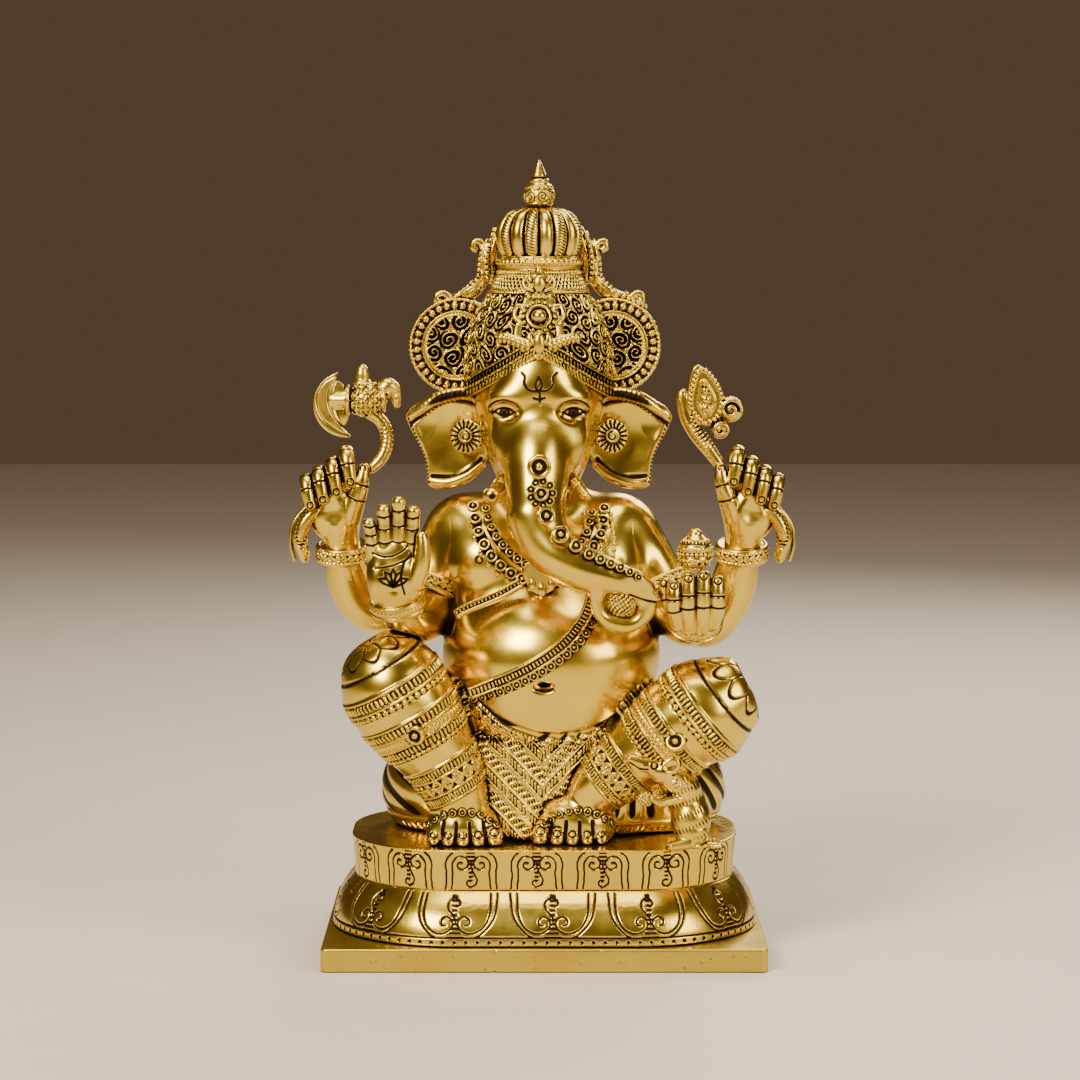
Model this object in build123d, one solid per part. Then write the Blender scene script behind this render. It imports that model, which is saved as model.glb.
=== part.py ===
from build123d import *
import math
import os

# Seated four-armed Ganesha in cast brass on a two-tier oval pedestal and a flat slab.
# Millimetres. +Z is up, the figure faces -Y, and the origin is the centre of the slab's underside.
# "right" and "left" are the figure's own sides: its right hand is at -X.

# ---------------------------------------------------------------- driving dimensions
SLAB = (208.0, 150.0, 11.0)          # width, depth, height of the bottom slab
SLAB_WINDOW = (172.0, 112.0, 48.0)   # width, depth, corner radius of the opening through the slab
LOTUS_FOOT = (203.0, 145.0, 60.0)    # oval footprint of the bulging lower tier
LOTUS_TOP = (182.0, 118.0, 50.0)     # the same at its top
SEAT_TOP = (184.5, 122.0, 52.0)      # oval of the upper tier's top face
LOTUS_TOP_Z = 35.0
LOTUS_LEAN = ((0.0, 0.0), (0.25, 0.05), (0.5, 0.22), (0.75, 0.54), (1.0, 1.0))
SEAT_Z = 54.0                        # the face that the figure sits on
WALL = 4.5                           # wall thickness of the hollow castings
MIDLINE = -2.5                       # x of the figure's head and crown, which lean a little to its right
TIP_Z = 378.0                        # top of the finial
STUD_X, STUD_Y = 50.0, 8.0           # the two fixing studs under the hips
STUD_R = 4.0
LUG = (10.0, 24.0)                   # radius and height of the lug round each stud
WEB = (40.0, 6.0)                    # reach and thickness of the web that joins a lug to the wall
CORE_TOP_Z = 203.0                   # the torso is hollow from the seat up to here


def point(p):
    return Vector(*p)


# ---------------------------------------------------------------- form helpers
def oval(size, z):
    """Rounded rectangle face of (width, depth, corner radius) at height z."""
    width, depth, radius = size
    return Pos(0, 0, z) * RectangleRounded(width, depth, min(radius, depth / 2 - 0.5))


def shrunk(size, by):
    return (size[0] - 2 * by, size[1] - 2 * by, size[2] - by)


def stack(rows):
    """Smooth loft through level ellipses, each (z, centre x, centre y, radius x, radius y)."""
    return loft([Pos(x, y, z) * Ellipse(rx, ry) for z, x, y, rx, ry in rows])


def tangents(points):
    found = []
    for i in range(len(points)):
        before, after = points[max(i - 1, 0)], points[min(i + 1, len(points) - 1)]
        found.append((after - before).normalized())
    return found


def limb(rows, flat=1.0, side=(0, 1, 0), dome=0.95):
    """Rounded tapering bar through rows of (x, y, z, radius). flat squeezes it along side,
    and dome is how far its first end bulges, as a fraction of the radius there."""
    points = [point(r[:3]) for r in rows]
    radii = [r[3] for r in rows]
    ways = tangents(points)
    first, last = ways[0], ways[-1]
    # Two small sections at each end round it off.
    places = [points[0] - first * (dome * radii[0]), points[0] - first * (0.63 * dome * radii[0])]
    places += points
    places += [points[-1] + last * (0.6 * radii[-1]), points[-1] + last * (0.95 * radii[-1])]
    sizes = [0.3 * radii[0], 0.8 * radii[0]] + radii + [0.8 * radii[-1], 0.3 * radii[-1]]
    ways = [first, first] + ways + [last, last]
    sections = []
    for place, size, way in zip(places, sizes, ways):
        across = point(side) - way * point(side).dot(way)
        plane = Plane(origin=place, x_dir=across, z_dir=way)
        sections.append(plane * Ellipse(flat * size, size) if flat != 1.0 else plane * Circle(size))
    return loft(sections)


def rod(start, end, r_start, r_end=None):
    """Round-ended straight rod that may taper, as one revolved solid."""
    r_end = r_start if r_end is None else r_end
    a, b = point(start), point(end)
    length = (b - a).length
    lean = math.asin((r_start - r_end) / length)
    s, c = math.sin(lean), math.cos(lean)
    foot = (r_start * c, r_start * s)
    top = (r_end * c, length + r_end * s)
    outline = Line((0, -r_start), (0, length + r_end))
    outline += ThreePointArc((0, -r_start), _arc_middle(0, r_start, -90, math.degrees(lean)), foot)
    outline += Line(foot, top)
    outline += ThreePointArc(top, _arc_middle(length, r_end, math.degrees(lean), 90), (0, length + r_end))
    body = revolve(Plane.XZ * make_face(outline), Axis.Z)
    return Plane(origin=a, z_dir=b - a) * body


def _arc_middle(height, radius, start_deg, end_deg):
    middle = math.radians((start_deg + end_deg) / 2)
    return (radius * math.cos(middle), height + radius * math.sin(middle))


def egg(centre, radii, turn=(0, 0, 0)):
    """Ellipsoid of three radii, turned in place by degrees about X, Y and Z."""
    return Pos(*centre) * Rot(*turn) * scale(Sphere(1), by=radii)


def ring(centre, radius, thickness, way, height):
    """Bracelet: a flat ring about way, rounded outside, thick either side of radius."""
    hoop = fillet(Cylinder(radius + thickness, height).edges(), 0.45 * thickness)
    return Plane(origin=centre, z_dir=way) * (hoop - Cylinder(radius - thickness, 2 * height))


def disc(centre, radius, thickness, way):
    """Round plate with its middle at centre and its axis along way."""
    return Plane(origin=centre, z_dir=way) * Cylinder(radius, thickness)


def turned(profile, x, y):
    """Vertical turned piece from a profile of (radius, z) that closes on its axis."""
    points = [(0, profile[0][1])] + list(profile) + [(0, profile[-1][1])]
    return Pos(x, y, 0) * revolve(Plane.XZ * make_face(Polyline(*points, close=True)), Axis.Z)


def plate(points, y, thickness):
    """Smooth-edged upright plate through (x, z) points, centred on y."""
    outline = Spline(*[(x, z) for x, z in points], periodic=True)
    return Pos(0, y, 0) * extrude(Plane.XZ * make_face(outline), thickness / 2, both=True)


# ---------------------------------------------------------------- pedestal
def base_slab():
    slab = Pos(0, 0, SLAB[2] / 2) * Box(*SLAB)
    slab = fillet(slab.edges().filter_by(Axis.Z), 3)
    return slab - extrude(oval(SLAB_WINDOW, -1), SLAB[2] + 2)


def lotus_sections(inset):
    """The bulge: nearly upright at its foot, leaning in towards the top."""
    height = LOTUS_TOP_Z - SLAB[2]
    faces = []
    for up, inward in LOTUS_LEAN:
        size = [foot + (top - foot) * inward for foot, top in zip(LOTUS_FOOT, LOTUS_TOP)]
        faces.append(oval(shrunk(size, inset), SLAB[2] + up * height))
    return faces


def lotus_pedestal():
    return loft(lotus_sections(0)) - loft(lotus_sections(WALL))


def seat_platform():
    shell = loft([oval(LOTUS_TOP, LOTUS_TOP_Z), oval(SEAT_TOP, SEAT_Z)])
    hollow = loft([oval(shrunk(LOTUS_TOP, WALL), LOTUS_TOP_Z), oval(shrunk(SEAT_TOP, WALL), SEAT_Z - WALL)])
    holes = [Pos(s * STUD_X, STUD_Y, SEAT_Z) * Cylinder(STUD_R + 0.5, 4 * WALL) for s in (-1, 1)]
    return shell - hollow - holes


def fixing_studs():
    """Two studs brazed into the figure's lugs, reaching down through the platform."""
    low, high = SEAT_Z - 18, SEAT_Z + 20
    return [Pos(s * STUD_X, STUD_Y, (low + high) / 2) * Cylinder(STUD_R, high - low) for s in (-1, 1)]


def fixing_nuts():
    height = 6.5
    top = SEAT_Z - WALL - 1.6
    blank = extrude(RegularPolygon(7.5, 6), height / 2, both=True) - Cylinder(STUD_R + 0.05, 3 * height)
    return [Pos(s * STUD_X, STUD_Y, top - height / 2) * blank for s in (-1, 1)]


def fixing_washers():
    blank = Cylinder(8.5, 1.6) - Cylinder(STUD_R + 0.3, 5)
    return [Pos(s * STUD_X, STUD_Y, SEAT_Z - WALL - 0.8) * blank for s in (-1, 1)]


# ---------------------------------------------------------------- body
TORSO = (
    (SEAT_Z, 4, 12, 75, 40), (62, 5, 12, 82, 43), (74, 5, 11, 83, 42), (86, 5, 7, 74, 40),
    (97, 4, 1, 60, 39),
    (105, 3, -3, 53, 41), (114, 3, -6, 50.5, 43), (128, 3, -8, 51.5, 44), (144, 3, -8, 51.5, 43),
    (158, 2, -5, 48, 38), (172, 0, 1, 45, 32), (186, -1, 6, 46, 28), (198, -2, 8, 44, 26),
    (207, -2, 8, 36, 24), (215, -2, 7, 25, 21), (224, -2, 4, 20, 20),
)
HEAD = (
    (216, MIDLINE, -10, 15, 17), (224, MIDLINE, -12, 20, 22), (236, MIDLINE, -12, 25, 27),
    (248, MIDLINE, -10, 28.5, 30), (258, MIDLINE, -8, 30.5, 31.5), (268, MIDLINE, -7, 31, 31.5),
    (278, MIDLINE, -6, 29, 30), (288, MIDLINE, -5, 25, 27),
)


def torso_shell(body):
    """The trimmed torso cored out from below, with a lug left round each stud, webbed to the wall."""
    core = [(z, x, y, rx - WALL, ry - WALL) for z, x, y, rx, ry in TORSO if z < CORE_TOP_Z]
    hollow = stack(core)
    for side in (-1, 1):
        middle = Pos(side * STUD_X, STUD_Y, SEAT_Z + LUG[1] / 2)
        hollow -= middle * Cylinder(LUG[0], LUG[1])
        hollow -= middle * Pos(side * WEB[0] / 2, 0, 0) * Box(WEB[0], WEB[1], LUG[1])
    return body - hollow


LEG_RIGHT = (
    (-74.5, -43, 134, 23.5), (-69, -43, 124.5, 25.0), (-61, -42, 112, 23.5), (-53, -41, 100, 20.0),
    (-45.5, -39, 87.5, 17.0), (-40.5, -38, 76, 15.0),
)
LEG_LEFT = (
    (82, -42, 121, 23.0), (73, -42.5, 115.5, 24.5), (61, -42, 108, 22.5), (48, -40, 98, 19.5),
    (35, -38, 89, 16.5), (25, -37, 80, 14.0),
)
KNEE_DOME = 0.72                     # the knee caps are flatter than a half ball
THIGH_RIGHT = ((-34, 8, 88, 27), (-50, -12, 104, 24), (-64, -34, 118, 20))
THIGH_LEFT = ((38, 8, 86, 27), (54, -12, 99, 24), (70, -34, 110, 20))


def toes(centre, spread, lean, sole):
    """Five toes fanned across the front of a foot, all resting on sole."""
    made = []
    for i in range(5):
        across = (i - 2) / 2
        radius = 4.2 if i == 0 else 3.4
        x = centre[0] + spread * across
        y = centre[1] + lean * abs(across) ** 1.5
        made.append(rod((x * 0.85 + centre[0] * 0.15, y + 12, sole + 8), (x, y, sole + radius), radius))
    return made


def leg(shin, thigh, foot):
    made = limb(shin, dome=KNEE_DOME) + limb(thigh)
    for piece in foot:
        made += piece
    return made - Pos(0, 0, SEAT_Z - 50) * Box(400, 400, 100)


def right_leg():
    foot = [egg((-38.5, -39, 62), (18, 15, 12))]
    foot += toes((-38.5, -50), 14, 2.5, SEAT_Z)
    return leg(LEG_RIGHT, THIGH_RIGHT, foot)


def left_leg():
    foot = [egg((16, -36, 64), (19, 14, 12), (0, 18, 0))]
    foot += toes((13, -47), 15, 3.0, SEAT_Z)
    return leg(LEG_LEFT, THIGH_LEFT, foot)


def dhoti_apron():
    """Pleated cloth that falls between the legs."""
    drop = [(-38, 106), (-8, 104), (34, 106), (30, 92), (16, 72)]
    drop += [(4, SEAT_Z + 4), (-14, SEAT_Z + 2), (-26, SEAT_Z + 8), (-34, 84)]
    return plate(drop, -34, 14)


def waist_belt():
    """Flat belt round the waist, dipping at the front under the belly."""
    proud = stack([(z, x, y, rx + 2.5, ry + 2.5) for z, x, y, rx, ry in TORSO if 80 < z < 150])
    return proud & Plane(origin=(4, -4, 116), z_dir=(0, -0.38, 1)) * Box(200, 200, 6)


# ---------------------------------------------------------------- head
TRUNK = (
    (MIDLINE, -24, 252, 16), (MIDLINE - 0.5, -33, 240, 16.5), (MIDLINE - 1, -40, 227, 15.5),
    (MIDLINE - 1.5, -46, 214, 14.3), (-1.5, -52, 202, 13.2), (5, -56, 193, 12), (15, -59, 187, 10.8),
    (27, -60, 183, 9.4), (38, -60, 179.5, 7.6), (47, -58.5, 175, 6),
)
CURL_CENTRE = (36.5, -60, 171.3)
CURL_RADIUS = 12.2
CURL = (
    (10, -1.5, 5.2), (-35, -1, 4.6), (-80, 0, 4.2), (-130, 1, 3.8),
    (180, 2, 3.6), (130, 3, 3.6), (85, 4, 4.0),
)


def trunk():
    """Hangs over the chest, swings to the figure's left and curls round the sweet."""
    rows = list(TRUNK)
    for angle, forward, radius in CURL:
        a = math.radians(angle)
        x = CURL_CENTRE[0] + CURL_RADIUS * math.cos(a)
        z = CURL_CENTRE[2] + CURL_RADIUS * math.sin(a)
        rows.append((x, CURL_CENTRE[1] - forward, z, radius))
    rows += [(46.5, -64, 180.5, 3.2), (52, -63.5, 177.5, 1.8)]
    return limb(rows)


def trunk_sweet():
    return Pos(36.5, -59.5, 171.5) * Sphere(7.4)


EAR = (
    (-30, 262), (-40, 267), (-52, 264), (-66.5, 254), (-62, 243), (-57, 232), (-55.5, 220),
    (-46, 218.5), (-33, 226), (-26, 236), (-24, 250),
)


def ear(side):
    outline = EAR if side < 0 else [(2 * MIDLINE - x, z) for x, z in EAR]
    return plate(outline, 0, 7)


def earring(side):
    x = MIDLINE + side * 33.5
    return disc((x, -7.5, 244.5), 8.6, 8, (side * 0.35, -1, 0))


def right_tusk():
    """The broken tusk: a short stub with a rounded end."""
    return rod((-16, -26, 226), (-23, -37, 221), 3.6, 4.4)


def left_tusk():
    return rod((10, -28, 228), (20, -44, 217), 3.8, 2.2)


# ---------------------------------------------------------------- crown
CROWN = (
    (258, MIDLINE, 1, 33, 31), (268, MIDLINE, 1, 35.5, 36), (280, MIDLINE, 0, 36, 37),
    (292, MIDLINE, 0, 34, 36), (304, MIDLINE, 1, 29.5, 31), (314, MIDLINE, 2, 24, 25),
    (322, MIDLINE, 3, 20.5, 20.5), (327, MIDLINE, 3, 19.5, 19.5),
)
BROW_Z = 284.0          # where the two halves of the headband meet
BROW_SLOPE = 0.62       # how fast it falls towards the ears
CREST_LEAN = 24.0       # degrees that the front crest leans back
WING_MIDDLE = -4.5      # the pair of wings sits a little to the right of the head
WING_Z, WING_R = 287.5, 23.5
SCROLL_Y, SCROLL_FLAT = 9.0, 1.3     # place and flattening of the bands that rise to the dome


def brow_cut(lift):
    """Everything in front of the ears and below the headband, lifted by lift."""
    reach = 60
    peak = BROW_Z + lift
    outline = Polyline(
        (MIDLINE - reach, 150), (MIDLINE - reach, peak - BROW_SLOPE * reach), (MIDLINE, peak),
        (MIDLINE + reach, peak - BROW_SLOPE * reach), (MIDLINE + reach, 150), close=True,
    )
    return extrude(Plane.XZ * make_face(outline), 80)


def crown_cap():
    return stack(CROWN) - brow_cut(5)


def headband():
    """Jewelled strip along the lower edge of the crown, a little proud of it."""
    proud = [(z, x, y, rx + 1.8, ry + 1.8) for z, x, y, rx, ry in CROWN]
    strip = (stack(proud) & brow_cut(6)) - brow_cut(0)
    return strip & Pos(0, -45, 275) * Box(90, 90, 60)


def crown_crest():
    """Tall jewel plate at the front of the crown."""
    half = [(7, 3), (12, 12), (9, 25), (6, 37), (3, 44)]
    outline = [(0, 0)] + half + [(0, 48)] + [(-x, z) for x, z in reversed(half)]
    return Pos(MIDLINE, -36, 281) * Rot(-CREST_LEAN, 0, 0) * plate(outline, 0, 9)


def crown_wing(side):
    x = WING_MIDDLE + side * 38
    return disc((x, 8, WING_Z), WING_R, 9, (0, 1, 0))


def crown_scroll(side):
    """S-shaped band from the wing up to the dome, with a rolled end."""
    outer = [(-50, 306, 4.4), (-42, 310, 3.8), (-34.5, 314, 3.4), (-30, 321, 3.6)]
    outer += [(-29, 330, 4.0), (-28, 336, 3)]
    inner = [(-25, 320, 3), (-26, 331, 3), (-24, 339, 2.6), (-22.5, 344, 2.0)]
    bands = []
    for rows in (outer, inner):
        placed = [(MIDLINE + side * (MIDLINE - x), SCROLL_Y, z, r) for x, z, r in rows]
        bands.append(limb(placed, SCROLL_FLAT))
    return bands[0] + bands[1]


def crown_dome():
    """Melon dome: a flattened ball cut to a lobed outline, one lobe per rib."""
    ribs = 16
    lobes = Circle(18.6)
    for i in range(ribs):
        lobes += Rot(0, 0, 360 / ribs * i) * Pos(18.2, 0) * Circle(3.7)
    column = Pos(MIDLINE, 3, 328) * extrude(lobes, 25)
    return egg((MIDLINE, 3, 340.6), (21.7, 21.7, 12.2)) & column


def crown_neck_ring():
    return Pos(MIDLINE, 3, 328) * Torus(18.2, 2.6)


def crown_finial():
    """Pot and spire on the dome."""
    profile = (
        (4.5, 351), (7.6, 352.4), (7.9, 354), (6.6, 355.4), (7.6, 358), (8.0, 361), (7.6, 364.5),
        (6.2, 368),
        (4.6, 369.6), (3.6, 370.4), (4.0, 371.6), (3.4, 374), (2.0, 376.8), (0.8, TIP_Z - 0.2),
        (0.3, TIP_Z),
    )
    return turned(profile, MIDLINE, 3)


# ---------------------------------------------------------------- arms and hands
REAR_ARM_RIGHT = (
    (-40, 24, 196, 15), (-55, 28, 176, 14), (-71, 31, 160, 13), (-85.5, 29, 157, 12),
    (-94.5, 24, 167, 11.2), (-98, 19, 181, 10),
)
REAR_ARM_LEFT = (
    (38, 24, 194, 15), (52, 29, 172, 14), (66, 32, 154, 13), (80, 30, 149, 12),
    (90, 25, 160, 11.2), (96, 19, 181, 10),
)
FRONT_ARM_RIGHT = (
    (-44, 4, 194, 14.5), (-51, 0, 181, 14.5), (-55.5, -6, 168, 12.8), (-57, -15, 159, 11.8),
    (-61, -28, 156.5, 10.8), (-65.5, -39.5, 159.5, 10.2), (-68.5, -46, 166, 9.6), (-69.5, -49, 173, 9.2),
)
FRONT_ARM_LEFT = (
    (42, 4, 194, 14.5), (51, 0, 181, 14), (59, -5, 168, 12.2), (64, -13, 158, 11.2),
    (68, -27, 155, 10.2), (71, -41, 158, 9.6),
)
REAR_AXIS = -1.0        # the rear hands mirror about this x


def rear_bracelet(side):
    x = REAR_AXIS + side * 98
    return ring((x, 17.5, 186), 10.0, 2.6, (0, -0.25, 1), 8)


def rear_hand(side):
    """Palm forward, thumb up, the four fingers bent over at the top."""
    out = -1 if side < 0 else 1

    def at(x, y, z, r):
        return (REAR_AXIS + out * x, y, z, r)

    palm = limb(
        [at(98, 16, 190, 9), at(99, 13, 199, 12.5), at(100, 11, 209, 12.5), at(101, 11, 216, 10)],
        0.6,
    )
    thumb = limb([at(95, 9, 200, 6.5), at(90, 6, 211, 5.4), at(87.5, 5, 220, 4), at(86, 5, 227, 2.8)])
    made = palm + thumb
    knuckles = ((94.5, 224, 237), (100.5, 219, 231), (107, 217, 227), (113.5, 214, 223))
    for x, low, high in knuckles:
        bent = [at(x - 1, 14, low - 4, 4.2), at(x + 1, 13, high - 5, 4)]
        bent += [at(x, 7, high - 2, 3.7), at(x - 3, 1, low, 3.2)]
        made += limb(bent)
    return made


def rear_ribbon(side):
    """The end of the cord held in the raised hand, hanging outside the wrist."""
    rows = [(103, 12, 209, 3.4), (111, 10, 206, 4), (117, 9, 198.5, 4.2), (118, 9, 190.5, 3.6)]
    rows += [(116, 9, 183.5, 2.4)]
    return limb([(REAR_AXIS + side * x, y, z, r) for x, y, z, r in rows], 1.5)


def front_right_hand():
    """Open palm raised in blessing."""
    palm = limb(
        [(-70, -52, 174, 11), (-70.5, -55, 182, 14), (-70.5, -57, 190, 14.2), (-70.5, -58, 196, 12.5)],
        0.5,
    )
    thumb = limb([(-62, -57, 181, 5.5), (-58.5, -60, 191, 4.6), (-57.5, -61, 199, 3.2)])
    made = palm + thumb
    for x, top, radius in ((-81, 211.5, 3.3), (-74.5, 217, 3.5), (-67.5, 220.5, 3.6), (-61, 216, 3.5)):
        made += rod((x * 0.85 - 10.6, -58, 196), (x, -59, top - radius), radius + 0.3, radius)
    return made


def front_left_hand():
    """Cupped hand, fingertips up in front of the pot."""
    palm = limb([(71, -48, 163, 10), (71.5, -52, 171, 13), (71.5, -53, 179, 12)], 0.75)
    made = palm
    for x, low, high in ((60.5, 165, 181), (67, 163, 184.5), (74, 163.5, 186), (81, 166, 183.5)):
        made += rod((x, -61.5, low), (x, -61.5, high), 3.9, 3.4)
    return made


def front_bracelet_right():
    return ring((-69, -47.5, 168.5), 10.6, 2.4, (-0.15, -0.4, 1), 6.5)


def front_bracelet_left():
    return ring((71, -45, 160.5), 10.6, 2.2, (0.1, -0.8, 1), 5.5)


def armlet_right():
    return ring((-55, -5, 170), 13.2, 2.6, (-0.35, -0.45, -1), 7.5)


def armlet_left():
    return ring((58, -4, 170), 12.6, 2.6, (0.55, -0.4, -1), 7.5)


# ---------------------------------------------------------------- attributes
def sweet_pot():
    """Ringed pot with a domed lid, held in the front left hand."""
    profile = (
        (7, 176), (8.3, 184), (8.6, 186.5), (7.6, 187.5), (8.3, 189), (7.9, 191), (8.4, 192.5), (8.2, 195),
        (6.6, 198.5), (3.8, 200.8), (3.2, 201.4), (3.1, 202.4), (1.6, 203.8), (0.3, 204.2),
    )
    return turned(profile, 71, -53)


def axe_head():
    """Crescent blade, quilted socket, knob above and a beaked scroll at the back."""
    x, z = -87.0, 260.5
    blade_outer = ThreePointArc((-100, 274.5), (-112.8, 261), (-93.5, 242.5))
    blade_inner = ThreePointArc((-93.5, 242.5), (-103.5, 258.5), (-100, 274.5))
    blade = Pos(0, 12.5, 0) * extrude(Plane.XZ * make_face(blade_outer + blade_inner), 2.0, both=True)
    made = egg((x, 12.5, z), (10, 8, 8.2)) + blade + rod((x - 8, 12.5, z), (x - 16, 12.5, z), 4.2, 3)
    knob = ((4.6, 267), (4.9, 268.8), (4.4, 270), (3.6, 270.6), (3.7, 273), (2.8, 276.5), (0.4, 278.5))
    beak = [(-80, 12.5, 264, 4.5), (-76, 12.5, 267, 4.6), (-73, 12.5, 264, 3.4), (-72, 12.5, 258.5, 2)]
    return made + turned(knob, -89, 12.5) + limb(beak)


def axe_shaft():
    """Hooked shaft from the socket down between thumb and forefinger."""
    rows = [(-85.5, 12.5, 254.5, 3.2), (-81, 12.5, 251.5, 3.2), (-77.5, 12, 246, 3.4)]
    rows += [(-77, 11, 239.5, 3.4), (-79.5, 9.5, 232.5, 3.2), (-84, 8, 227.5, 2.6)]
    return limb(rows)


def lotus_goad():
    """Leaf-shaped lotus bud with side scrolls on a curved stem."""
    bud = [(76, 277.5), (84, 270), (88, 260), (84, 250), (77, 248), (71, 254), (70, 264)]
    stem = [(67.5, 12.5, 263, 3), (69, 12.5, 254, 3.4), (74, 12.5, 245, 4)]
    stem += [(80, 11.5, 237, 3.6), (85.5, 9.5, 229.5, 2.8)]
    curls = [egg((91, 12.5, 256), (6.4, 3.6, 6.4)), egg((86, 12.5, 246), (4.6, 3.2, 4.6))]
    return plate(bud, 12.5, 7) + limb(stem) + curls[0] + curls[1]


# ---------------------------------------------------------------- ornaments
def torso_front(x, z):
    """y of the front of the torso at (x, z)."""
    for low, high in zip(TORSO, TORSO[1:]):
        if low[0] <= z <= high[0]:
            up = (z - low[0]) / (high[0] - low[0])
            _, cx, cy, rx, ry = [a + (b - a) * up for a, b in zip(low, high)]
            return cy - ry * math.sqrt(max(0.0, 1 - ((x - cx) / rx) ** 2))
    raise ValueError("z is off the torso")


def strand(places, radius):
    """Cord laid on the torso through (x, z) places, bedded to a third of its thickness."""
    return limb([(x, torso_front(x, z) - 0.6 * radius, z, radius) for x, z in places])


def necklace():
    places = [(-30, 208), (-29, 198), (-23, 190), (-15, 183), (-3, 178), (9, 182), (18, 189)]
    places += [(26, 198), (28, 208)]
    return strand(places, 4.2)


def necklace_pendant():
    outline = [(-6, 188), (4, 188), (8, 180), (5, 174), (-1, 170.5), (-7, 174), (-10, 180)]
    return plate(outline, torso_front(-1, 178) - 5, 7)


def sacred_thread():
    """Snake cord from the left shoulder across the belly to the right hip."""
    return strand(
        [(23, 184), (22, 170), (17.5, 159), (8.5, 149), (-4.5, 140), (-20, 132), (-34, 126.5)],
        3.6,
    )


def chest_strap():
    """Band under the breast, tied at the pendant."""
    return strand([(-38, 164), (-30, 167), (-20, 171.5), (-10, 177)], 2.8)


# ---------------------------------------------------------------- mouse
def mouse():
    """Sits up on the platform's edge, muzzle raised to the figure's knee."""
    body = limb([(69, -46, 62, 8.5), (68.5, -46, 70, 9), (65, -47, 79, 8.2), (60, -48, 86, 6.6)])
    head = limb([(58, -49, 89, 6.6), (51, -51, 92.5, 5.2), (44, -53, 95.5, 3.2), (39, -54, 97.5, 1.6)])
    ears = disc((58, -52, 95), 4.2, 2.2, (0.3, -1, 0.5))
    paws = rod((62, -53, 78), (51, -56, 77), 2.6, 2.0)
    haunch = egg((69, -50, 62), (7, 6, 7.5)) + rod((67, -54, 56.5), (60, -57, 56), 2.4)
    made = body + head + ears + paws + haunch
    return made - Pos(0, 0, SEAT_Z - 50) * Box(400, 400, 100)


def mouse_sweet():
    return egg((47.5, -56.5, 77.5), (4.4, 3.4, 3.2))


def mouse_foot_plate():
    """Ragged little plate that the mouse was cast on, let into the platform's edge."""
    return Pos(70, -47.5, SEAT_Z + 1) * Box(26, 17, 2) - Pos(77, -57, SEAT_Z + 1) * Cylinder(3, 4)


# ---------------------------------------------------------------- assembly
def trimmed(shape, neighbours):
    """What is left of shape once its neighbours have taken their space, largest solid first."""
    cutters = [solid for neighbour in neighbours for solid in neighbour.solids()]
    left = shape - cutters if cutters else shape
    return sorted(left.solids(), key=lambda solid: solid.volume, reverse=True)


def sided(maker):
    """The figure's right piece and its left piece."""
    return maker(-1), maker(1)


def castings():
    """Every piece at its full size, before neighbours are fitted to one another."""
    n = {}
    n["base_slab"] = base_slab()
    n["lotus_pedestal"] = lotus_pedestal()
    n["seat_platform"] = seat_platform()
    n["fixing_studs"] = Compound(children=fixing_studs())
    n["fixing_nuts"] = Compound(children=fixing_nuts())
    n["fixing_washers"] = Compound(children=fixing_washers())
    n["torso"] = stack(TORSO)
    n["right_leg"] = right_leg()
    n["left_leg"] = left_leg()
    n["dhoti_apron"] = dhoti_apron()
    n["waist_belt"] = waist_belt()
    n["head"] = stack(HEAD)
    n["trunk"] = trunk()
    n["trunk_sweet"] = trunk_sweet()
    n["right_tusk"] = right_tusk()
    n["left_tusk"] = left_tusk()
    n["right_ear"], n["left_ear"] = sided(ear)
    n["right_earring"], n["left_earring"] = sided(earring)
    n["crown_cap"] = crown_cap()
    n["headband"] = headband()
    n["crown_crest"] = crown_crest()
    n["right_crown_wing"], n["left_crown_wing"] = sided(crown_wing)
    n["right_crown_scroll"], n["left_crown_scroll"] = sided(crown_scroll)
    n["crown_neck_ring"] = crown_neck_ring()
    n["crown_dome"] = crown_dome()
    n["crown_finial"] = crown_finial()
    n["rear_right_arm"] = limb(REAR_ARM_RIGHT)
    n["rear_left_arm"] = limb(REAR_ARM_LEFT)
    n["rear_right_hand"], n["rear_left_hand"] = sided(rear_hand)
    n["rear_right_bracelet"], n["rear_left_bracelet"] = sided(rear_bracelet)
    n["rear_right_ribbon"], n["rear_left_ribbon"] = sided(rear_ribbon)
    n["front_right_arm"] = limb(FRONT_ARM_RIGHT)
    n["front_left_arm"] = limb(FRONT_ARM_LEFT)
    n["front_right_hand"] = front_right_hand()
    n["front_left_hand"] = front_left_hand()
    n["front_right_bracelet"] = front_bracelet_right()
    n["front_left_bracelet"] = front_bracelet_left()
    n["right_armlet"] = armlet_right()
    n["left_armlet"] = armlet_left()
    n["axe_head"] = axe_head()
    n["axe_shaft"] = axe_shaft()
    n["lotus_goad"] = lotus_goad()
    n["sweet_pot"] = sweet_pot()
    n["necklace"] = necklace()
    n["necklace_pendant"] = necklace_pendant()
    n["sacred_thread"] = sacred_thread()
    n["chest_strap"] = chest_strap()
    n["mouse"] = mouse()
    n["mouse_sweet"] = mouse_sweet()
    n["mouse_foot_plate"] = mouse_foot_plate()
    return n


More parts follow.
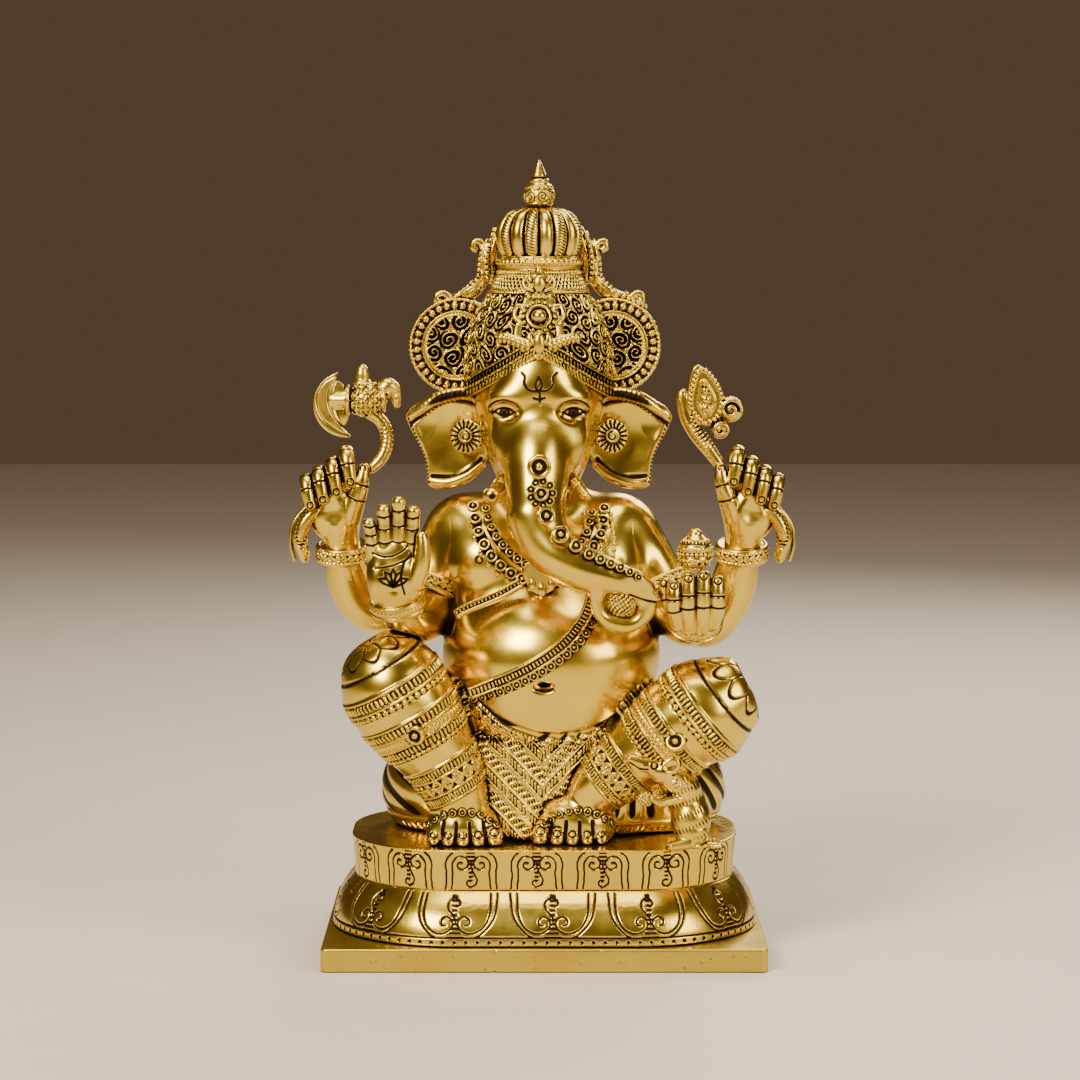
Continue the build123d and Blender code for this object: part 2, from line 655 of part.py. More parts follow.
# Each casting is trimmed to the ones it is brazed against, so that they meet face to face.
# A name here gives way to every name after it.
GIVES_WAY = {
    "torso": ["fixing_studs", "head"],
    "right_leg": ["torso"],
    "left_leg": ["torso"],
    "dhoti_apron": ["torso", "right_leg", "left_leg"],
    "waist_belt": ["torso", "right_leg", "left_leg", "dhoti_apron"],
    "trunk": ["head", "necklace", "necklace_pendant"],
    "trunk_sweet": ["trunk"],
    "right_tusk": ["head", "trunk"],
    "left_tusk": ["head", "trunk"],
    "right_ear": ["head", "torso"],
    "left_ear": ["head", "torso"],
    "right_earring": ["head", "right_ear"],
    "left_earring": ["head", "left_ear"],
    "crown_cap": ["head", "right_ear", "left_ear"],
    "headband": ["head", "crown_cap", "right_ear", "left_ear"],
    "crown_crest": ["head", "crown_cap", "headband"],
    "right_crown_wing": ["crown_cap", "right_ear", "head"],
    "left_crown_wing": ["crown_cap", "left_ear", "head"],
    "right_crown_scroll": ["crown_cap", "right_crown_wing", "crown_neck_ring", "crown_dome"],
    "left_crown_scroll": ["crown_cap", "left_crown_wing", "crown_neck_ring", "crown_dome"],
    "crown_neck_ring": ["crown_cap"],
    "crown_dome": ["crown_cap", "crown_neck_ring", "crown_finial"],
    "rear_right_arm": ["torso"],
    "rear_left_arm": ["torso"],
    "rear_right_hand": ["rear_right_arm"],
    "rear_left_hand": ["rear_left_arm"],
    "rear_right_bracelet": ["rear_right_arm", "rear_right_hand"],
    "rear_left_bracelet": ["rear_left_arm", "rear_left_hand"],
    "rear_right_ribbon": ["rear_right_hand", "rear_right_bracelet"],
    "rear_left_ribbon": ["rear_left_hand", "rear_left_bracelet"],
    "front_right_arm": ["torso", "rear_right_arm", "right_leg", "head"],
    "front_left_arm": ["torso", "rear_left_arm", "left_leg", "head"],
    "front_right_hand": ["front_right_arm"],
    "front_right_bracelet": ["front_right_arm", "front_right_hand"],
    "front_left_hand": ["front_left_arm"],
    "front_left_bracelet": ["front_left_arm", "front_left_hand"],
    "right_armlet": ["front_right_arm", "rear_right_arm", "torso"],
    "left_armlet": ["front_left_arm", "rear_left_arm", "torso"],
    "axe_head": ["axe_shaft"],
    "axe_shaft": ["rear_right_hand"],
    "lotus_goad": ["rear_left_hand"],
    "sweet_pot": ["front_left_hand"],
    "necklace": ["torso", "necklace_pendant"],
    "necklace_pendant": ["torso"],
    "sacred_thread": ["torso", "necklace", "necklace_pendant", "trunk"],
    "chest_strap": ["torso", "necklace", "necklace_pendant", "right_armlet"],
    "mouse": ["left_leg", "mouse_foot_plate", "mouse_sweet"],
    "mouse_foot_plate": ["left_leg"],
    "mouse_sweet": ["left_leg"],
}
GROUPED = {"fixing_studs": 2, "fixing_nuts": 2, "fixing_washers": 2}


def assembly():
    """The castings trimmed to one another, with the torso cored out."""
    full = castings()
    fitted = {}
    for name, shape in full.items():
        solids = trimmed(shape, [full[other] for other in GIVES_WAY.get(name, [])])
        if name == "torso":
            solids = torso_shell(solids[0]).solids()
        fitted[name] = Compound(children=solids[:GROUPED.get(name, 1)])
    return fitted


if __name__ == "__main__":
    os.makedirs("parts", exist_ok=True)
    for name, shape in assembly().items():
        export_step(shape, f"parts/{name}.step")
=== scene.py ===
import math
import bpy
import numpy as np
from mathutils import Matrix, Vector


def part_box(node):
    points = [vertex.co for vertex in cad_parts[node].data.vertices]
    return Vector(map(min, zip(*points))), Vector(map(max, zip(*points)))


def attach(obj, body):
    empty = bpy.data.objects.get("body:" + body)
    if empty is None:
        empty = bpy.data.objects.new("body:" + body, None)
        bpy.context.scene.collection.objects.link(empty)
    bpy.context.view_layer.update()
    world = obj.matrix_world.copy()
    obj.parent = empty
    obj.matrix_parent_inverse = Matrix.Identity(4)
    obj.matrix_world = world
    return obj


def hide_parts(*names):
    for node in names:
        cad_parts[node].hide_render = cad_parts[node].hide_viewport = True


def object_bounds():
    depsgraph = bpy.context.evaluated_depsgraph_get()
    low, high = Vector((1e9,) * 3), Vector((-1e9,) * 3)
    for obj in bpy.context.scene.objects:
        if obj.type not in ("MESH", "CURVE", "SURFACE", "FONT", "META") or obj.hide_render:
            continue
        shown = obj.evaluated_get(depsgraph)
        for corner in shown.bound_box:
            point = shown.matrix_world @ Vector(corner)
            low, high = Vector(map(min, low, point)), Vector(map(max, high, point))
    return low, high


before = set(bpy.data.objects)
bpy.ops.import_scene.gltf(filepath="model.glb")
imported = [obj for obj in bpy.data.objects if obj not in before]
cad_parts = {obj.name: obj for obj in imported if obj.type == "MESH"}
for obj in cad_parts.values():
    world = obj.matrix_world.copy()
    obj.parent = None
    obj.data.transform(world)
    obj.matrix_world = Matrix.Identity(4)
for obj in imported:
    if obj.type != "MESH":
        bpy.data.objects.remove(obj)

import openvdb
from mathutils import Vector

CAD_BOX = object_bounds()
MM = 0.001
COARSE = 1.0
FAR = 40.0               # distance that stands for a place far outside a piece
PATINA_AND_SHADOW_REACH, INK_RISE = 0.35, 0.28      # spread of the dark from a cut (patina in a groove, painted shadow in a bed under an ornament), and the depth that is fully dark


def node_box(*nodes):
    """Low and high corners, in millimetres, of the box round some CAD nodes."""
    corners = [np.array(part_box(node)) / MM for node in nodes]
    return np.min([c[0] for c in corners], axis=0), np.max([c[1] for c in corners], axis=0)


# ---------------------------------------------------------------- meshes
def build_mesh(name, points, quads):
    """Smooth mesh from arrays of points in millimetres and corner indices."""
    mesh = bpy.data.meshes.new(name)
    corners = quads.ravel().astype(np.int32)
    starts = (np.arange(len(quads)) * 4).astype(np.int32)
    mesh.vertices.add(len(points))
    mesh.vertices.foreach_set("co", (np.asarray(points, np.float32) * MM).ravel())
    mesh.loops.add(len(corners))
    mesh.loops.foreach_set("vertex_index", corners)
    mesh.polygons.add(len(starts))
    mesh.polygons.foreach_set("loop_start", starts)
    mesh.update(calc_edges=True)
    mesh.shade_smooth()
    return mesh


def paint(mesh, name, values):
    """Store one number per point, from 0 to 1, for the material to read."""
    layer = mesh.attributes.new(name, "FLOAT", "POINT")
    layer.data.foreach_set("value", np.clip(values, 0, 1).astype(np.float32))


def show(name, clay, nodes, material):
    """Put the skin of a finished piece of clay in the scene in place of its CAD nodes."""
    mesh = clay.mesh(name)
    piece = bpy.data.objects.new(name, mesh)
    bpy.context.scene.collection.objects.link(piece)
    mesh.materials.append(material)
    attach(piece, "root")
    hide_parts(*nodes)


# ---------------------------------------------------------------- curves in space
def curve(points, step=0.6):
    """Points every step millimetres along a smooth curve through points (rows may carry a radius)."""
    p = np.array(points, float)
    p = np.vstack([2 * p[0] - p[1], p, 2 * p[-1] - p[-2]])
    fine = []
    for a, b, c, d in zip(p, p[1:], p[2:], p[3:]):
        count = max(2, int(np.linalg.norm((c - b)[:3]) / step * 2))
        t = np.linspace(0, 1, count, endpoint=False)[:, None]
        fine.append(0.5 * (2 * b + (c - a) * t + (2 * a - 5 * b + 4 * c - d) * t**2
                           + (3 * b - a - 3 * c + d) * t**3))
    fine = np.vstack(fine + [p[-2:-1]])
    run = np.concatenate([[0], np.cumsum(np.linalg.norm(np.diff(fine[:, :3], axis=0), axis=1))])
    places = np.linspace(0, run[-1], max(2, int(round(run[-1] / step)) + 1))
    return np.stack([np.interp(places, run, fine[:, k]) for k in range(fine.shape[1])], axis=1)


def spiral(turns, start, end, steps=40):
    """Flat spiral as (u, v) rows: radius start to end while it turns."""
    t = np.linspace(0, 1, steps)
    radius = start + (end - start) * t
    angle = t * turns * 2 * math.pi
    return np.stack([radius * np.cos(angle), radius * np.sin(angle)], axis=1)


# ---------------------------------------------------------------- forms
class Form:
    """A shape: its signed distance at points x, y, z, and the box that holds it."""

    def __init__(self, distance, low, high):
        self.distance = distance
        self.low = np.array(low, float)
        self.high = np.array(high, float)


def ball(centre, radius):
    c = np.array(centre, float)

    def distance(x, y, z):
        return np.sqrt((x - c[0])**2 + (y - c[1])**2 + (z - c[2])**2) - radius

    return Form(distance, c - radius, c + radius)


def egg(centre, radii, axes=None):
    """Ellipsoid with its radii along the rows of axes."""
    c = np.array(centre, float)
    r = np.array(radii, float)
    rows = np.eye(3) if axes is None else np.array(axes, float)
    reach = np.sqrt(((rows * r[:, None])**2).sum(axis=0))

    def distance(x, y, z):
        local = [row[0] * (x - c[0]) + row[1] * (y - c[1]) + row[2] * (z - c[2]) for row in rows]
        near = np.sqrt(sum((q / k)**2 for q, k in zip(local, r))) + 1e-6
        slope = np.sqrt(sum((q / k**2)**2 for q, k in zip(local, r))) + 1e-6
        return near * (near - 1) / slope

    return Form(distance, c - reach, c + reach)


def rod(a, b, start, end=None):
    """Round-ended rod from a to b whose radius goes from start to end."""
    end = start if end is None else end
    a, b = np.array(a, float)[:3], np.array(b, float)[:3]
    way = b - a
    length2 = max(float(way @ way), 1e-9)
    big = max(start, end)

    def distance(x, y, z):
        px, py, pz = x - a[0], y - a[1], z - a[2]
        t = np.clip((px * way[0] + py * way[1] + pz * way[2]) / length2, 0, 1)
        gap = np.sqrt((px - way[0] * t)**2 + (py - way[1] * t)**2 + (pz - way[2] * t)**2)
        return gap - (start + (end - start) * t)

    return Form(distance, np.minimum(a, b) - big, np.maximum(a, b) + big)


def tube(path, radius=None):
    """Rods along path. Its rows carry a radius, or radius is given."""
    rows = np.array(path, float)
    radii = rows[:, 3] if radius is None else np.full(len(rows), float(radius))
    return [rod(a, b, ra, rb) for a, b, ra, rb in zip(rows, rows[1:], radii, radii[1:])]


def hoop(centre, way, radius, thick):
    """Torus round the axis way."""
    c, w = np.array(centre, float), np.array(way, float)
    w = w / np.linalg.norm(w)
    reach = radius + thick

    def distance(x, y, z):
        px, py, pz = x - c[0], y - c[1], z - c[2]
        up = px * w[0] + py * w[1] + pz * w[2]
        out = np.sqrt(np.maximum(px * px + py * py + pz * pz - up * up, 0))
        return np.sqrt((out - radius)**2 + up * up) - thick

    return Form(distance, c - reach, c + reach)


def slab(centre, half, axes=None, edge=0.5):
    """Box with half sizes along the rows of axes and rounded edges."""
    c, h = np.array(centre, float), np.array(half, float) - edge
    rows = np.eye(3) if axes is None else np.array(axes, float)
    reach = np.abs(rows.T * np.array(half)).sum(axis=1)

    def distance(x, y, z):
        q = [np.abs(row[0] * (x - c[0]) + row[1] * (y - c[1]) + row[2] * (z - c[2])) - k
             for row, k in zip(rows, h)]
        outside = np.sqrt(sum(np.maximum(k, 0)**2 for k in q))
        return outside + np.minimum(np.maximum(q[0], np.maximum(q[1], q[2])), 0) - edge

    return Form(distance, c - reach, c + reach)


def smooth_min(a, b, blend):
    if blend <= 0:
        return np.minimum(a, b)
    h = np.maximum(blend - np.abs(a - b), 0) / blend
    return np.minimum(a, b) - h * h * blend * 0.25


# ---------------------------------------------------------------- modelling clay
class Clay:
    """A piece of brass held as signed distances on a fine lattice, in millimetres."""

    def __init__(self, low, high, voxel):
        self.voxel = voxel * COARSE
        self.first = np.floor(np.array(low) / self.voxel).astype(int)
        self.count = np.ceil(np.array(high) / self.voxel).astype(int) - self.first + 1
        self.field = np.full(self.count, FAR, np.float32)
        self.patina_and_shadow = np.zeros(self.count, np.float16)      # dark patina that lies in grooves and grounds, and painted shadow in the beds under ornaments on the body

    def axes(self, start=(0, 0, 0), stop=None):
        """Lattice coordinates along x, y and z, shaped to broadcast."""
        stop = self.count if stop is None else stop
        lines = [(self.first[k] + np.arange(start[k], stop[k])).astype(np.float32) * np.float32(self.voxel)
                 for k in range(3)]
        return lines[0][:, None, None], lines[1][None, :, None], lines[2][None, None, :]

    def window(self, low, high):
        """The slices of the lattice over a box, with their coordinates, or None outside it."""
        start = np.clip(np.floor(np.array(low) / self.voxel).astype(int) - self.first, 0, self.count)
        stop = np.clip(np.ceil(np.array(high) / self.voxel).astype(int) + 1 - self.first, 0, self.count)
        if np.any(stop <= start):
            return None
        return tuple(slice(a, b) for a, b in zip(start, stop)), self.axes(start, stop)

    def layer(self, forms, pad):
        """Hard union of forms over their common window."""
        low = np.min([f.low for f in forms], axis=0) - pad
        high = np.max([f.high for f in forms], axis=0) + pad
        found = self.window(low, high)
        if found is None:
            return None
        sub = np.full([s.stop - s.start for s in found[0]], FAR, np.float32)
        for form in forms:
            inner = self.window(form.low - pad, form.high + pad)
            if inner is None:
                continue
            local = tuple(slice(s.start - o.start, s.stop - o.start) for s, o in zip(inner[0], found[0]))
            sub[local] = np.minimum(sub[local], form.distance(*inner[1]))
        return found[0], sub

    def add(self, *forms, blend=0.0):
        made = self.layer(forms, blend + 2.5 * self.voxel)
        if made:
            self.field[made[0]] = smooth_min(self.field[made[0]], made[1], blend)

    def cut(self, *forms, blend=0.0, patina_and_shadow=False):
        made = self.layer(forms, blend + 2.5 * self.voxel)
        if made:
            self.field[made[0]] = -smooth_min(-self.field[made[0]], made[1], blend)
            if patina_and_shadow:
                shade = np.clip(1.1 - made[1] / PATINA_AND_SHADOW_REACH, 0, 1)
                self.patina_and_shadow[made[0]] = np.maximum(self.patina_and_shadow[made[0]], shade)

    def relief(self, low, high, height, reach=2.5):
        """Raise the skin by height(points) millimetres where it lies in a box."""
        found = self.window(low, high)
        if found is None:
            return
        part = self.field[found[0]]
        near = np.abs(part) < reach
        x, y, z = [np.broadcast_to(c, part.shape)[near] for c in found[1]]
        rise = height(np.stack([x, y, z], axis=1)).astype(np.float32)
        part[near] -= rise
        inked = self.patina_and_shadow[found[0]]
        inked[near] = np.where(rise == 0, inked[near], np.clip(-rise / INK_RISE, 0, 1))

    def sample(self, points, values=None):
        """Trilinear distance at free points, or another lattice's values there."""
        values = self.field if values is None else values
        q = np.asarray(points) / self.voxel - self.first
        q = np.clip(q, 0, self.count - 1.001)
        i = q.astype(int)
        f = (q - i).astype(np.float32)
        total = 0
        for dx in (0, 1):
            for dy in (0, 1):
                for dz in (0, 1):
                    weight = (np.abs(1 - dx - f[:, 0]) * np.abs(1 - dy - f[:, 1])
                              * np.abs(1 - dz - f[:, 2]))
                    total = total + weight * values[i[:, 0] + dx, i[:, 1] + dy, i[:, 2] + dz]
        return total

    def normals(self, points, step=None):
        step = step or self.voxel
        points = np.asarray(points, float)
        slope = [self.sample(points + step * e) - self.sample(points - step * e) for e in np.eye(3)]
        slope = np.stack(slope, axis=1)
        return slope / (np.linalg.norm(slope, axis=1, keepdims=True) + 1e-9)

    def drop(self, points, way, reach=60.0):
        """Move points along way until they meet the skin."""
        p = np.array(points, float)
        w = np.array(way, float) / np.linalg.norm(way)
        moved = np.zeros(len(p))
        for _ in range(60):
            gap = self.sample(p + moved[:, None] * w)
            moved = np.minimum(moved + np.clip(gap * 0.8, -2.0, 2.0), reach)
        return p + moved[:, None] * w

    def on(self, points, rounds=5):
        """Nearest points of the skin."""
        p = np.array(points, float)
        for _ in range(rounds):
            p = p - self.normals(p) * self.sample(p)[:, None]
        return p

    def mesh(self, name):
        """Smooth mesh of the skin, with a mask of its hollows that holds their patina and painted shade."""
        band = 3 * self.voxel
        grid = openvdb.FloatGrid(background=band)
        grid.copyFromArray(np.clip(self.field, -band, band), ijk=tuple(int(v) for v in self.first))
        grid.transform = openvdb.createLinearTransform(voxelSize=self.voxel)
        points, quads = grid.convertToQuads(isovalue=0.0)
        mesh = build_mesh(name, points, quads)
        n = self.normals(points)
        mesh.normals_split_custom_set_from_vertices(n)
        shade = self.sample(points, self.patina_and_shadow).astype(float)
        # Occlusion read off the distance field paints shade into the hollows, together with their patina.
        for reach, weight in ((0.7, 0.9), (1.5, 0.75), (3.0, 0.3)):
            open_air = self.sample(points + n * reach) / reach
            shade = np.maximum(shade, weight * np.clip(1.25 * (0.92 - open_air), 0, 1))
        paint(mesh, "hollow", shade)
        return mesh


# ---------------------------------------------------------------- the CAD pieces as clay
GRAIN = 2.0        # spacing of the coarse lattice that the CAD pieces are read on


def level_set(points, faces, voxel, reach):
    """Signed distances to a closed mesh of triangles or quads."""
    kind = {"triangles": faces} if faces.shape[1] == 3 else {"quads": faces}
    transform = openvdb.createLinearTransform(voxelSize=voxel)
    return openvdb.FloatGrid.createLevelSetFromPolygons(points, transform=transform,
                                                        halfWidth=reach / voxel, **kind)


def cad_mesh(node):
    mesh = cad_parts[node].data
    mesh.calc_loop_triangles()
    points = np.empty(len(mesh.vertices) * 3, np.float32)
    mesh.vertices.foreach_get("co", points)
    faces = np.empty(len(mesh.loop_triangles) * 3, np.int32)
    mesh.loop_triangles.foreach_get("vertices", faces)
    return (points / MM).reshape(-1, 3), faces.reshape(-1, 3)


def softened(field, sigma):
    """Gaussian blur by repeated averaging along each axis."""
    for _ in range(int(round(2 * sigma**2))):
        for axis in range(3):
            before = np.roll(field, 1, axis)
            field = 0.5 * field + 0.25 * (before + np.roll(field, -1, axis))
    return field


def fill_hollow(field):
    """Mark as metal whatever has metal on all four sides of it at its own level."""
    metal = field < 0
    shut = np.ones_like(metal)
    for axis in (0, 1):
        shut &= np.logical_or.accumulate(metal, axis)
        shut &= np.flip(np.logical_or.accumulate(np.flip(metal, axis), axis), axis)
    return np.where(shut & ~metal, np.float32(-6), field)


class Mould:
    """The outside of a CAD piece on a coarse lattice, with its facets smoothed away over soften mm."""

    def __init__(self, node, soften=2.0, hollow=False, grain=GRAIN):
        self.grain = grain
        reach = 6 * grain
        low, high = node_box(node)
        self.first = np.floor((low - reach) / grain).astype(int)
        count = np.ceil((high + reach) / grain).astype(int) - self.first
        points, faces = cad_mesh(node)
        field = self.read(level_set(points, faces, grain, reach), count, reach)
        if hollow:
            grid = openvdb.FloatGrid(background=reach)
            grid.copyFromArray(fill_hollow(field), ijk=tuple(int(v) for v in self.first))
            grid.transform = openvdb.createLinearTransform(voxelSize=grain)
            points, faces = grid.convertToQuads(isovalue=0.0)
            field = self.read(level_set(points, faces, grain, reach), count, reach)
        self.field = softened(field, soften / grain)

    def read(self, grid, count, reach):
        field = np.full(count, reach, np.float32)
        grid.copyToArray(field, ijk=tuple(int(v) for v in self.first))
        return field

    def onto(self, clay):
        """Distances over the clay's lattice, by cubic splines."""
        field = self.field
        for axis in range(3):
            steps = clay.first[axis] + np.arange(clay.count[axis])
            place = steps * clay.voxel / self.grain - self.first[axis]
            last = field.shape[axis] - 1
            base = np.floor(place).astype(int)
            f = (place - base).astype(np.float32)
            weights = ((1 - f)**3 / 6, (3 * f**3 - 6 * f**2 + 4) / 6,
                       (-3 * f**3 + 3 * f**2 + 3 * f + 1) / 6, f**3 / 6)
            table = np.zeros((len(place), last + 1), np.float32)
            for shift, weight in enumerate(weights):
                np.add.at(table, (np.arange(len(place)), np.clip(base + shift - 1, 0, last)), weight)
            field = np.moveaxis(np.tensordot(table, field, (1, axis)), 0, axis)
        return np.ascontiguousarray(field)


def clay_over(node, voxel, pad=4.0):
    """Empty clay over the box of a CAD piece and pad mm round it."""
    low, high = node_box(node)
    return Clay(low - pad, high + pad, voxel)


def cast_from(node, voxel, soften=2.0, pad=4.0, hollow=False, grain=GRAIN):
    """Clay shaped as a CAD piece, its facets smoothed away."""
    clay = clay_over(node, voxel, pad)
    clay.field = Mould(node, soften, hollow, grain).onto(clay)
    return clay


def spot(node, dx=0.0, dy=0.0, dz=0.0):
    """The middle of a CAD piece's box, moved by millimetres."""
    low, high = node_box(node)
    return (low + high) / 2 + np.array((dx, dy, dz))


def places_on(node, side=1):
    """Function from (u, y, v) to the point that far from the middle of a CAD piece, u mirrored by side."""
    middle = spot(node)

    def at(u, y, v):
        return middle + np.array((side * u, y, v))

    return at


def face_places_on(node, side=1):
    """The same, but (u, v) on the piece's middle plane, with y in front of or behind it last."""
    at = places_on(node, side)
    return lambda u, v, y=0.0: at(u, y, v)


def around(count, start=0.0):
    """Angles of count even steps round a circle, the first one start steps on."""
    return [2 * math.pi * (k + start) / count for k in range(count)]


# ---------------------------------------------------------------- patterns on bands
def bump(x):
    """1 at 0, falling smoothly to 0 at -1 and 1."""
    return np.maximum(1 - x * x, 0)**2


def ridge(x):
    """Round-topped bar: 1 at 0 and 0 from -1 and 1 outwards."""
    return np.sqrt(np.maximum(1 - x * x, 0))


def cell(s, pitch):
    """Place within a repeat, from -pitch/2 to pitch/2."""
    return (s / pitch - np.floor(s / pitch) - 0.5) * pitch


def flower(u, v, radius, petals):
    """Height of a flower: a button and a ring of petals."""
    rho = np.hypot(u, v) / radius
    theta = np.arctan2(v, u)
    leaf = np.abs(np.cos(theta * petals / 2))**0.7
    return np.maximum(ridge(rho / 0.28), np.where(rho < 1, leaf * bump((rho - 0.62) / 0.4), 0))


def swirls(u, v, size):
    """Height of a close ground of scrolls, each size across, turning in alternate directions."""
    row = np.floor(v / (size * 0.87))
    shifted = u + (row % 2) * size * 0.5
    a = cell(shifted, size)
    b = v - (row + 0.5) * size * 0.87
    hand = np.where((np.floor(shifted / size) + row) % 2 < 1, 1.0, -1.0)
    rho = np.hypot(a, b)
    turn = np.arctan2(b, a * hand) / (2 * math.pi)
    arm = cell(rho / (size * 0.235) - turn, 1.0)
    line = ridge(arm / 0.31) * (rho < size * 0.5)
    return np.maximum(line, ridge((rho - size * 0.56) / (size * 0.1)) * 0.7)


def warped(u, v, size):
    """The ground of scrolls with its rows bent, so that no two curls are alike."""
    bent_u = u + 0.22 * size * np.sin(v / size * 1.9) + 40 * size
    bent_v = v + 0.20 * size * np.sin(u / size * 2.3 + 1) + 40 * size
    return swirls(bent_u, bent_v, size)


def band_height(kind, s, v, width):
    """Height, from 0 to 1, of a band's ornament at s mm along it and v mm off its middle."""
    if kind == "line":
        made = ridge(v / (width / 2))
    elif kind == "beads":
        pitch = width * 1.02
        made = ridge(np.hypot(cell(s, pitch), v) / (width * 0.48))
    elif kind == "ticks":
        made = ridge(cell(s, 1.9) / 0.72) * (np.abs(v) < width * 0.42)
    elif kind == "rope":
        made = ridge(v / (width / 2)) * (0.45 + 0.55 * ridge(cell(s + v * 0.9, 2.0) / 0.8))
    elif kind == "ribs":
        made = ridge(v / (width / 2)) * (0.4 + 0.6 * ridge(cell(s, 2.2) / 0.9))
    elif kind == "flowers":
        pitch = width * 1.06
        made = np.maximum(flower(cell(s, pitch), v, width * 0.42, 6),
                          ridge((np.hypot(cell(s, pitch), v) - width * 0.44) / (width * 0.09)))
    elif kind == "leaves":
        pitch = width * 0.8
        a = np.abs(cell(s, pitch)) / (pitch / 2)
        up = (v + width / 2) / width
        made = ridge(np.clip(a / np.maximum(1.02 - up, 0.02), 0, 1)) * (a > 0.12)
    elif kind == "lattice":
        made = np.maximum(ridge(cell(s + v, 3.4) / 0.65), ridge(cell(s - v, 3.4) / 0.65))
    elif kind == "swirls":
        made = swirls(s, v + width / 2, width * 0.9)
    else:
        made = np.full_like(v, 0.6)
    return made


GROUND_DEPTH, GROUND_RISE = 0.34, 1.3      # the ground of a band is sunk, its ornament rises above it
ASKEW = (0.3, 0.05, 1.0)       # a direction that no face of the ornaments looks in


def edged(core, edge, off, thin, height):
    """A band of ornament core, as (width, kind, height), with a thin band of edge off mm to each side."""
    return [(0, *core), (off, thin, edge, height), (-off, thin, edge, height)]


def stacked(bands, s, v):
    """Height of bands laid side by side: rows of (middle, width, kind, height in mm)."""
    total = np.zeros_like(v)
    for middle, width, kind, height in bands:
        inside = np.abs(v - middle) < width / 2
        made = height * (GROUND_RISE * band_height(kind, s, v - middle, width) - GROUND_DEPTH)
        total = np.where(inside, made, total)
    return total


class Frame:
    """Axes of a limb: along it, and across it with across as the direction where the angle is 0."""

    def __init__(self, centre, along, across=(0, -1, 0)):
        self.centre = np.array(centre, float)
        self.w = np.array(along, float) / np.linalg.norm(along)
        u = np.array(across, float)
        u = u - self.w * (u @ self.w)
        self.u = u / np.linalg.norm(u)
        self.v = np.cross(self.w, self.u)

    def coordinates(self, points):
        """Radius, angle and height along the axis."""
        q = points - self.centre
        a, b = q @ self.u, q @ self.v
        return np.hypot(a, b), np.arctan2(b, a), q @ self.w

    def at(self, radius, angle, height=0.0):
        """The point with these coordinates."""
        out = math.cos(angle) * self.u + math.sin(angle) * self.v
        return self.centre + radius * out + height * self.w


def wrap(clay, limb, radius, bands, low, high, reach=2.0):
    """Bands round a limb, at heights along its axis."""
    def height(points):
        rho, angle, along = limb.coordinates(points)
        total = stacked(bands, (angle + math.pi) * radius, along)
        return np.where(rho < radius * 1.8, total, 0)

    clay.relief(low, high, height, reach)


def follow(clay, rows, bands, reach=2.0, lean=None):
    """Bands along a path that lies on the skin. lean is the way the bands' upper side points."""
    rows = np.asarray(rows)[:, :3]
    wide = max(abs(b[0]) + b[1] / 2 for b in bands) + 0.5
    run = np.concatenate([[0], np.cumsum(np.linalg.norm(np.diff(rows, axis=0), axis=1))])
    ways = np.gradient(rows, axis=0)
    ways /= np.linalg.norm(ways, axis=1, keepdims=True) + 1e-9
    sides = np.cross(clay.normals(rows), ways)
    if lean is not None:
        sides *= np.sign(sides @ np.array(lean, float))[:, None]

    def height(points):
        total = np.zeros(len(points))
        for start in range(0, len(points), 20000):
            p = points[start:start + 20000]
            gap = ((p[:, None, :] - rows[None])**2).sum(axis=2)
            nearest = gap.argmin(axis=1)
            off = p - rows[nearest]
            s = run[nearest] + (off * ways[nearest]).sum(axis=1)
            v = (off * sides[nearest]).sum(axis=1)
            made = stacked(bands, s, v)
            beyond = (s < 0) | (s > run[-1]) | (gap.min(axis=1) > (wide + reach)**2)
            total[start:start + 20000] = np.where(beyond, 0, made)
        return total

    clay.relief(rows.min(axis=0) - wide, rows.max(axis=0) + wide, height, reach)


def medallion(clay, centre, way, radius, petals=8, lift=0.9):
    """Flower in relief on the skin, with a rim of beads."""
    disc = Frame(centre, way, ASKEW)

    def height(points):
        rho, angle, along = disc.coordinates(points)
        face = flower(rho * np.cos(angle), rho * np.sin(angle), radius * 0.74, petals)
        count = max(8, int(radius * 2.9))
        pitch = 2 * math.pi * radius * 0.87 / count
        off = cell((angle + math.pi) * radius * 0.87, pitch)
        rim = ridge(np.hypot(rho - radius * 0.87, off) / (radius * 0.13))
        inside = (np.abs(along) < radius) & (rho < radius * 1.02)
        return np.where(inside, lift * (GROUND_RISE * np.maximum(face, rim) - GROUND_DEPTH), 0)

    clay.relief(disc.centre - radius, disc.centre + radius, height)


def shadow(path, width, depth=0.45):
    """Dark shallow bed for an ornament that lies along path on the body: the dark is painted shadow under
    the ornament.
    """
    reach = width + 2.0
    outs = BODY.normals(path)
    BODY.cut(*tube(path + outs * (reach - depth), reach), blend=0.3, patina_and_shadow=True)


def button(clay, place, way, radius, boss=0.34):
    """Round button on the skin with a rim, a dark ring and a boss."""
    disc = Frame(place, way, ASKEW)
    clay.add(egg(place, (radius, radius, radius * 0.5), (disc.u, disc.v, disc.w)), blend=0.2)
    clay.add(hoop(disc.at(0, 0, radius * 0.3), disc.w, radius * 0.78, radius * 0.22), blend=0.15)
    ring = hoop(disc.at(0, 0, radius * 0.5), disc.w, radius * 0.48, max(0.24, radius * 0.12))
    clay.cut(ring, blend=0.1, patina_and_shadow=True)
    clay.cut(hoop(disc.at(0, 0, 0.1), disc.w, radius * 1.08, 0.26), blend=0.1, patina_and_shadow=True)
    clay.add(ball(disc.at(0, 0, radius * 0.42), radius * boss), blend=0.1)


def beads(clay, path, radius, pitch=None, blend=0.2):
    """String of beads along a path."""
    rows = curve(path, pitch or 2.1 * radius)
    clay.add(*[ball(p[:3], radius) for p in rows], blend=blend)


